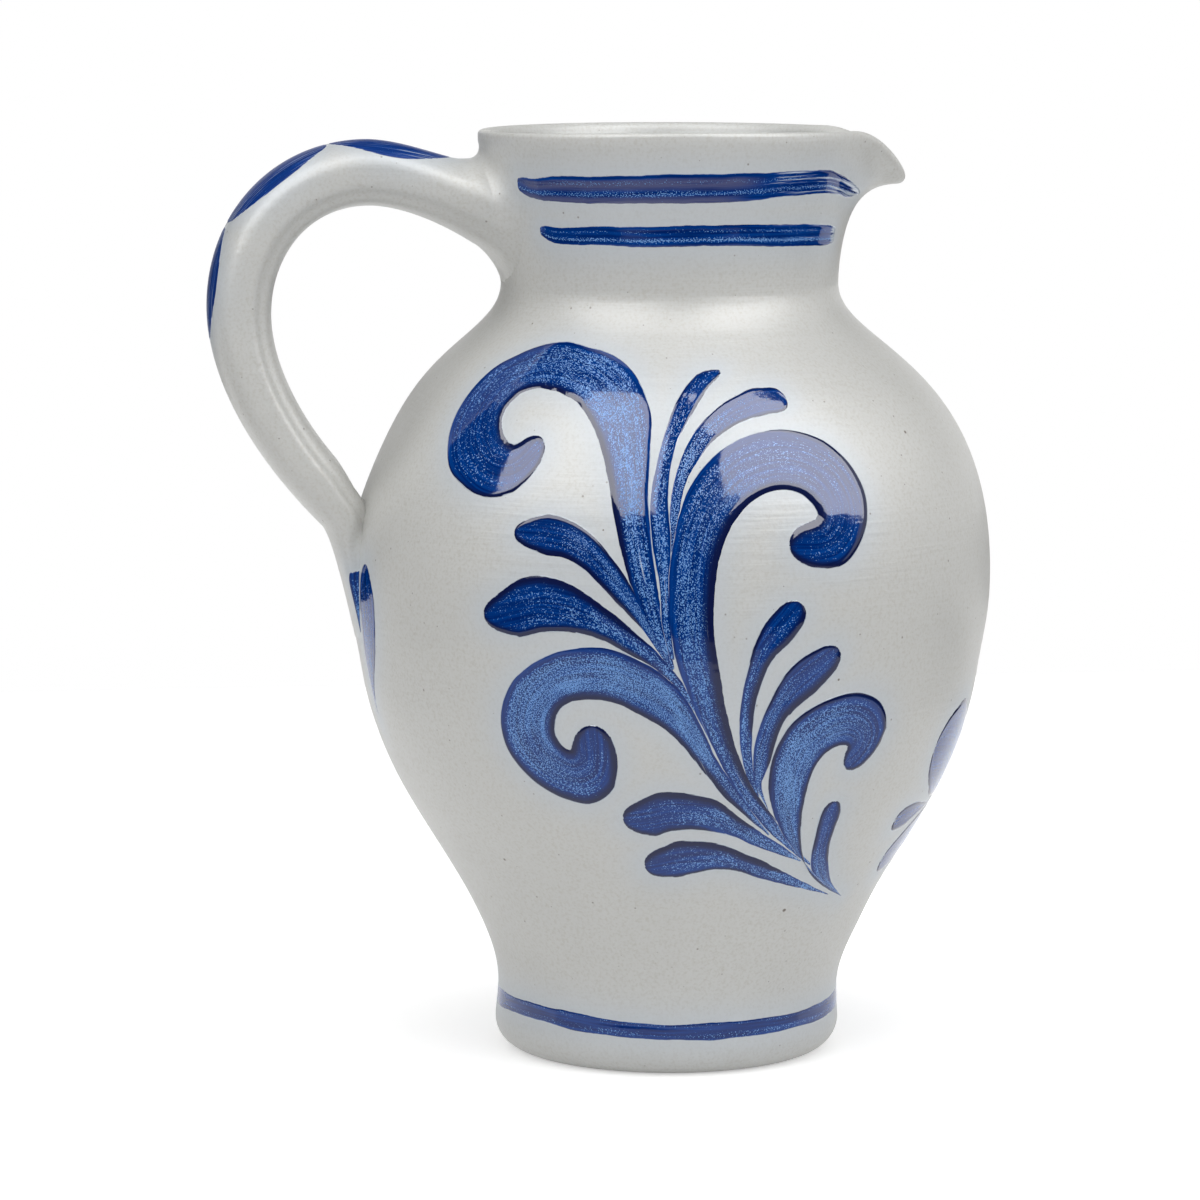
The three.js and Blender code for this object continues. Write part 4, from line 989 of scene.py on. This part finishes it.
table_corners = between((-table_side, table_front, 0), (table_side, table_back, 0))
plain_sheet("table_top", table_corners, white_table_top())
cloth = even_sheet("Dark cloth", 0.0)
dark_cloths = {
    "cloth_in_front": ((-cloth_side, cloth_front, -2), (cloth_side, cloth_front, 4)),
    "cloth_below": ((-cloth_side, cloth_front, -0.6), (cloth_side, table_front, -0.6)),
    "cloth_on_table_left": ((-cloth_side, table_front, on_table), (-open_side, 0.25, on_table)),
    "cloth_on_table_right": ((open_side, table_front, on_table), (cloth_side, 0.25, on_table)),
    "cloth_behind_right": ((open_side, table_back, on_table), (cloth_side, cloth_back - 0.1, on_table)),
    "cloth_on_left": ((-2.2, cloth_front, -2), (-2.2, 1.2, 4)),
    "cloth_above": ((-cloth_side, cloth_front, cloth_top), (cloth_side, cloth_back, cloth_top)),
    "cloth_behind": ((-cloth_side, cloth_back, 0.75), (cloth_side, cloth_back, cloth_top)),
    "cloth_behind_left": ((-cloth_side, cloth_back - 0.1, -2), (-0.5, cloth_back - 0.1, 0.8)),
}
for name, opposite_corners in dark_cloths.items():
    mirrored_only(plain_sheet(name, between(*opposite_corners), cloth))
for name, glow, front, back in (("shaded_table_front", 0.35, table_front, shade_front),
                                ("shaded_table", 0.95, shade_front, shade_back)):
    shaded = between((-open_side, front, on_table), (open_side, back, on_table))
    mirrored_only(plain_sheet(name, shaded, even_sheet(name, glow)))


def white_surround():
    world = bpy.data.worlds.new("White surround")
    world.use_nodes = True
    tree = world.node_tree
    background = tree.nodes["Background"]
    background.inputs["Color"].default_value = (1, 1, 1, 1)
    strength = calc(tree, "MULTIPLY_ADD", seen_directly(tree), 0.48, 0.52)
    tree.links.new(strength, background.inputs["Strength"])
    bpy.context.scene.world = world


white_surround()


# Lights: a wide lamp overhead and two large softboxes that lean in over the jug from the left and the
# right of the camera. Only the bright faces of the softboxes show in the slip.

def softbox_face(name, glow, azimuth, low, high):
    """A leaning sheet of light. Each edge is (distance, height, first and last place along it); the
    azimuth of its middle counts from the front towards the spout."""
    turn = math.radians(azimuth)
    outwards = np.array([math.sin(turn), -math.cos(turn), 0])
    aside = np.array([math.cos(turn), math.sin(turn), 0])

    def corner(edge, end):
        return tuple(edge[0] * outwards + edge[end] * aside + (0, 0, edge[1]))

    mirrored_only(plain_sheet(name, [corner(low, 2), corner(low, 3), corner(high, 3), corner(high, 2)],
                              even_sheet(name, glow)))


softbox_face("left_softbox_face", glow=6.2, azimuth=-31,
             low=(1.1, 0.62, -1.1, 0.336), high=(0.226, 1.66, -0.6, 0.1))
softbox_face("right_softbox_face", glow=7.2, azimuth=10,
             low=(0.8, 0.46, 0.04, 1.6), high=(0.2, 1.46, 0.03, 0.9))


lamp_aim = Vector((0, 0, 0.1))


def wide_lamp(name, place, size, radiance):
    light = bpy.data.lights.new(name, "AREA")
    light.size = size
    light.energy = radiance * math.pi * size ** 2
    lamp = bpy.data.objects.new(name, light)
    lamp.location = place
    lamp.rotation_euler = (lamp_aim - Vector(place)).to_track_quat("-Z", "Y").to_euler()
    lamp.visible_camera = False
    lamp.visible_glossy = False
    bpy.context.collection.objects.link(lamp)


wide_lamp("overhead_lamp", place=(0, -0.25, 1.6), size=1.2, radiance=2.42)
wide_lamp("left_lamp", place=(-0.9, -1.0, 0.9), size=1.0, radiance=1.24)
wide_lamp("right_lamp", place=(0.9, -1.0, 0.9), size=1.0, radiance=1.24)


# Camera: a long lens a little above the rim, on the handle's side of the front, as far off as a studio
# picture is taken from.

camera_distance, camera_height = 1.2452, 0.2692
camera_azimuth, camera_pitch, camera_turn = -8.0, 7.39, 0.758

lens = bpy.data.cameras.new("camera")
lens.lens, lens.sensor_width = 157.35, 36
camera = bpy.data.objects.new("camera", lens)
side = math.radians(camera_azimuth)
camera.location = (camera_distance * math.sin(side), -camera_distance * math.cos(side), camera_height)
camera.rotation_euler = (math.radians(90 - camera_pitch), 0, math.radians(camera_azimuth + camera_turn))
bpy.context.collection.objects.link(camera)
bpy.context.scene.camera = camera
bpy.context.scene.view_settings.view_transform = "Standard"
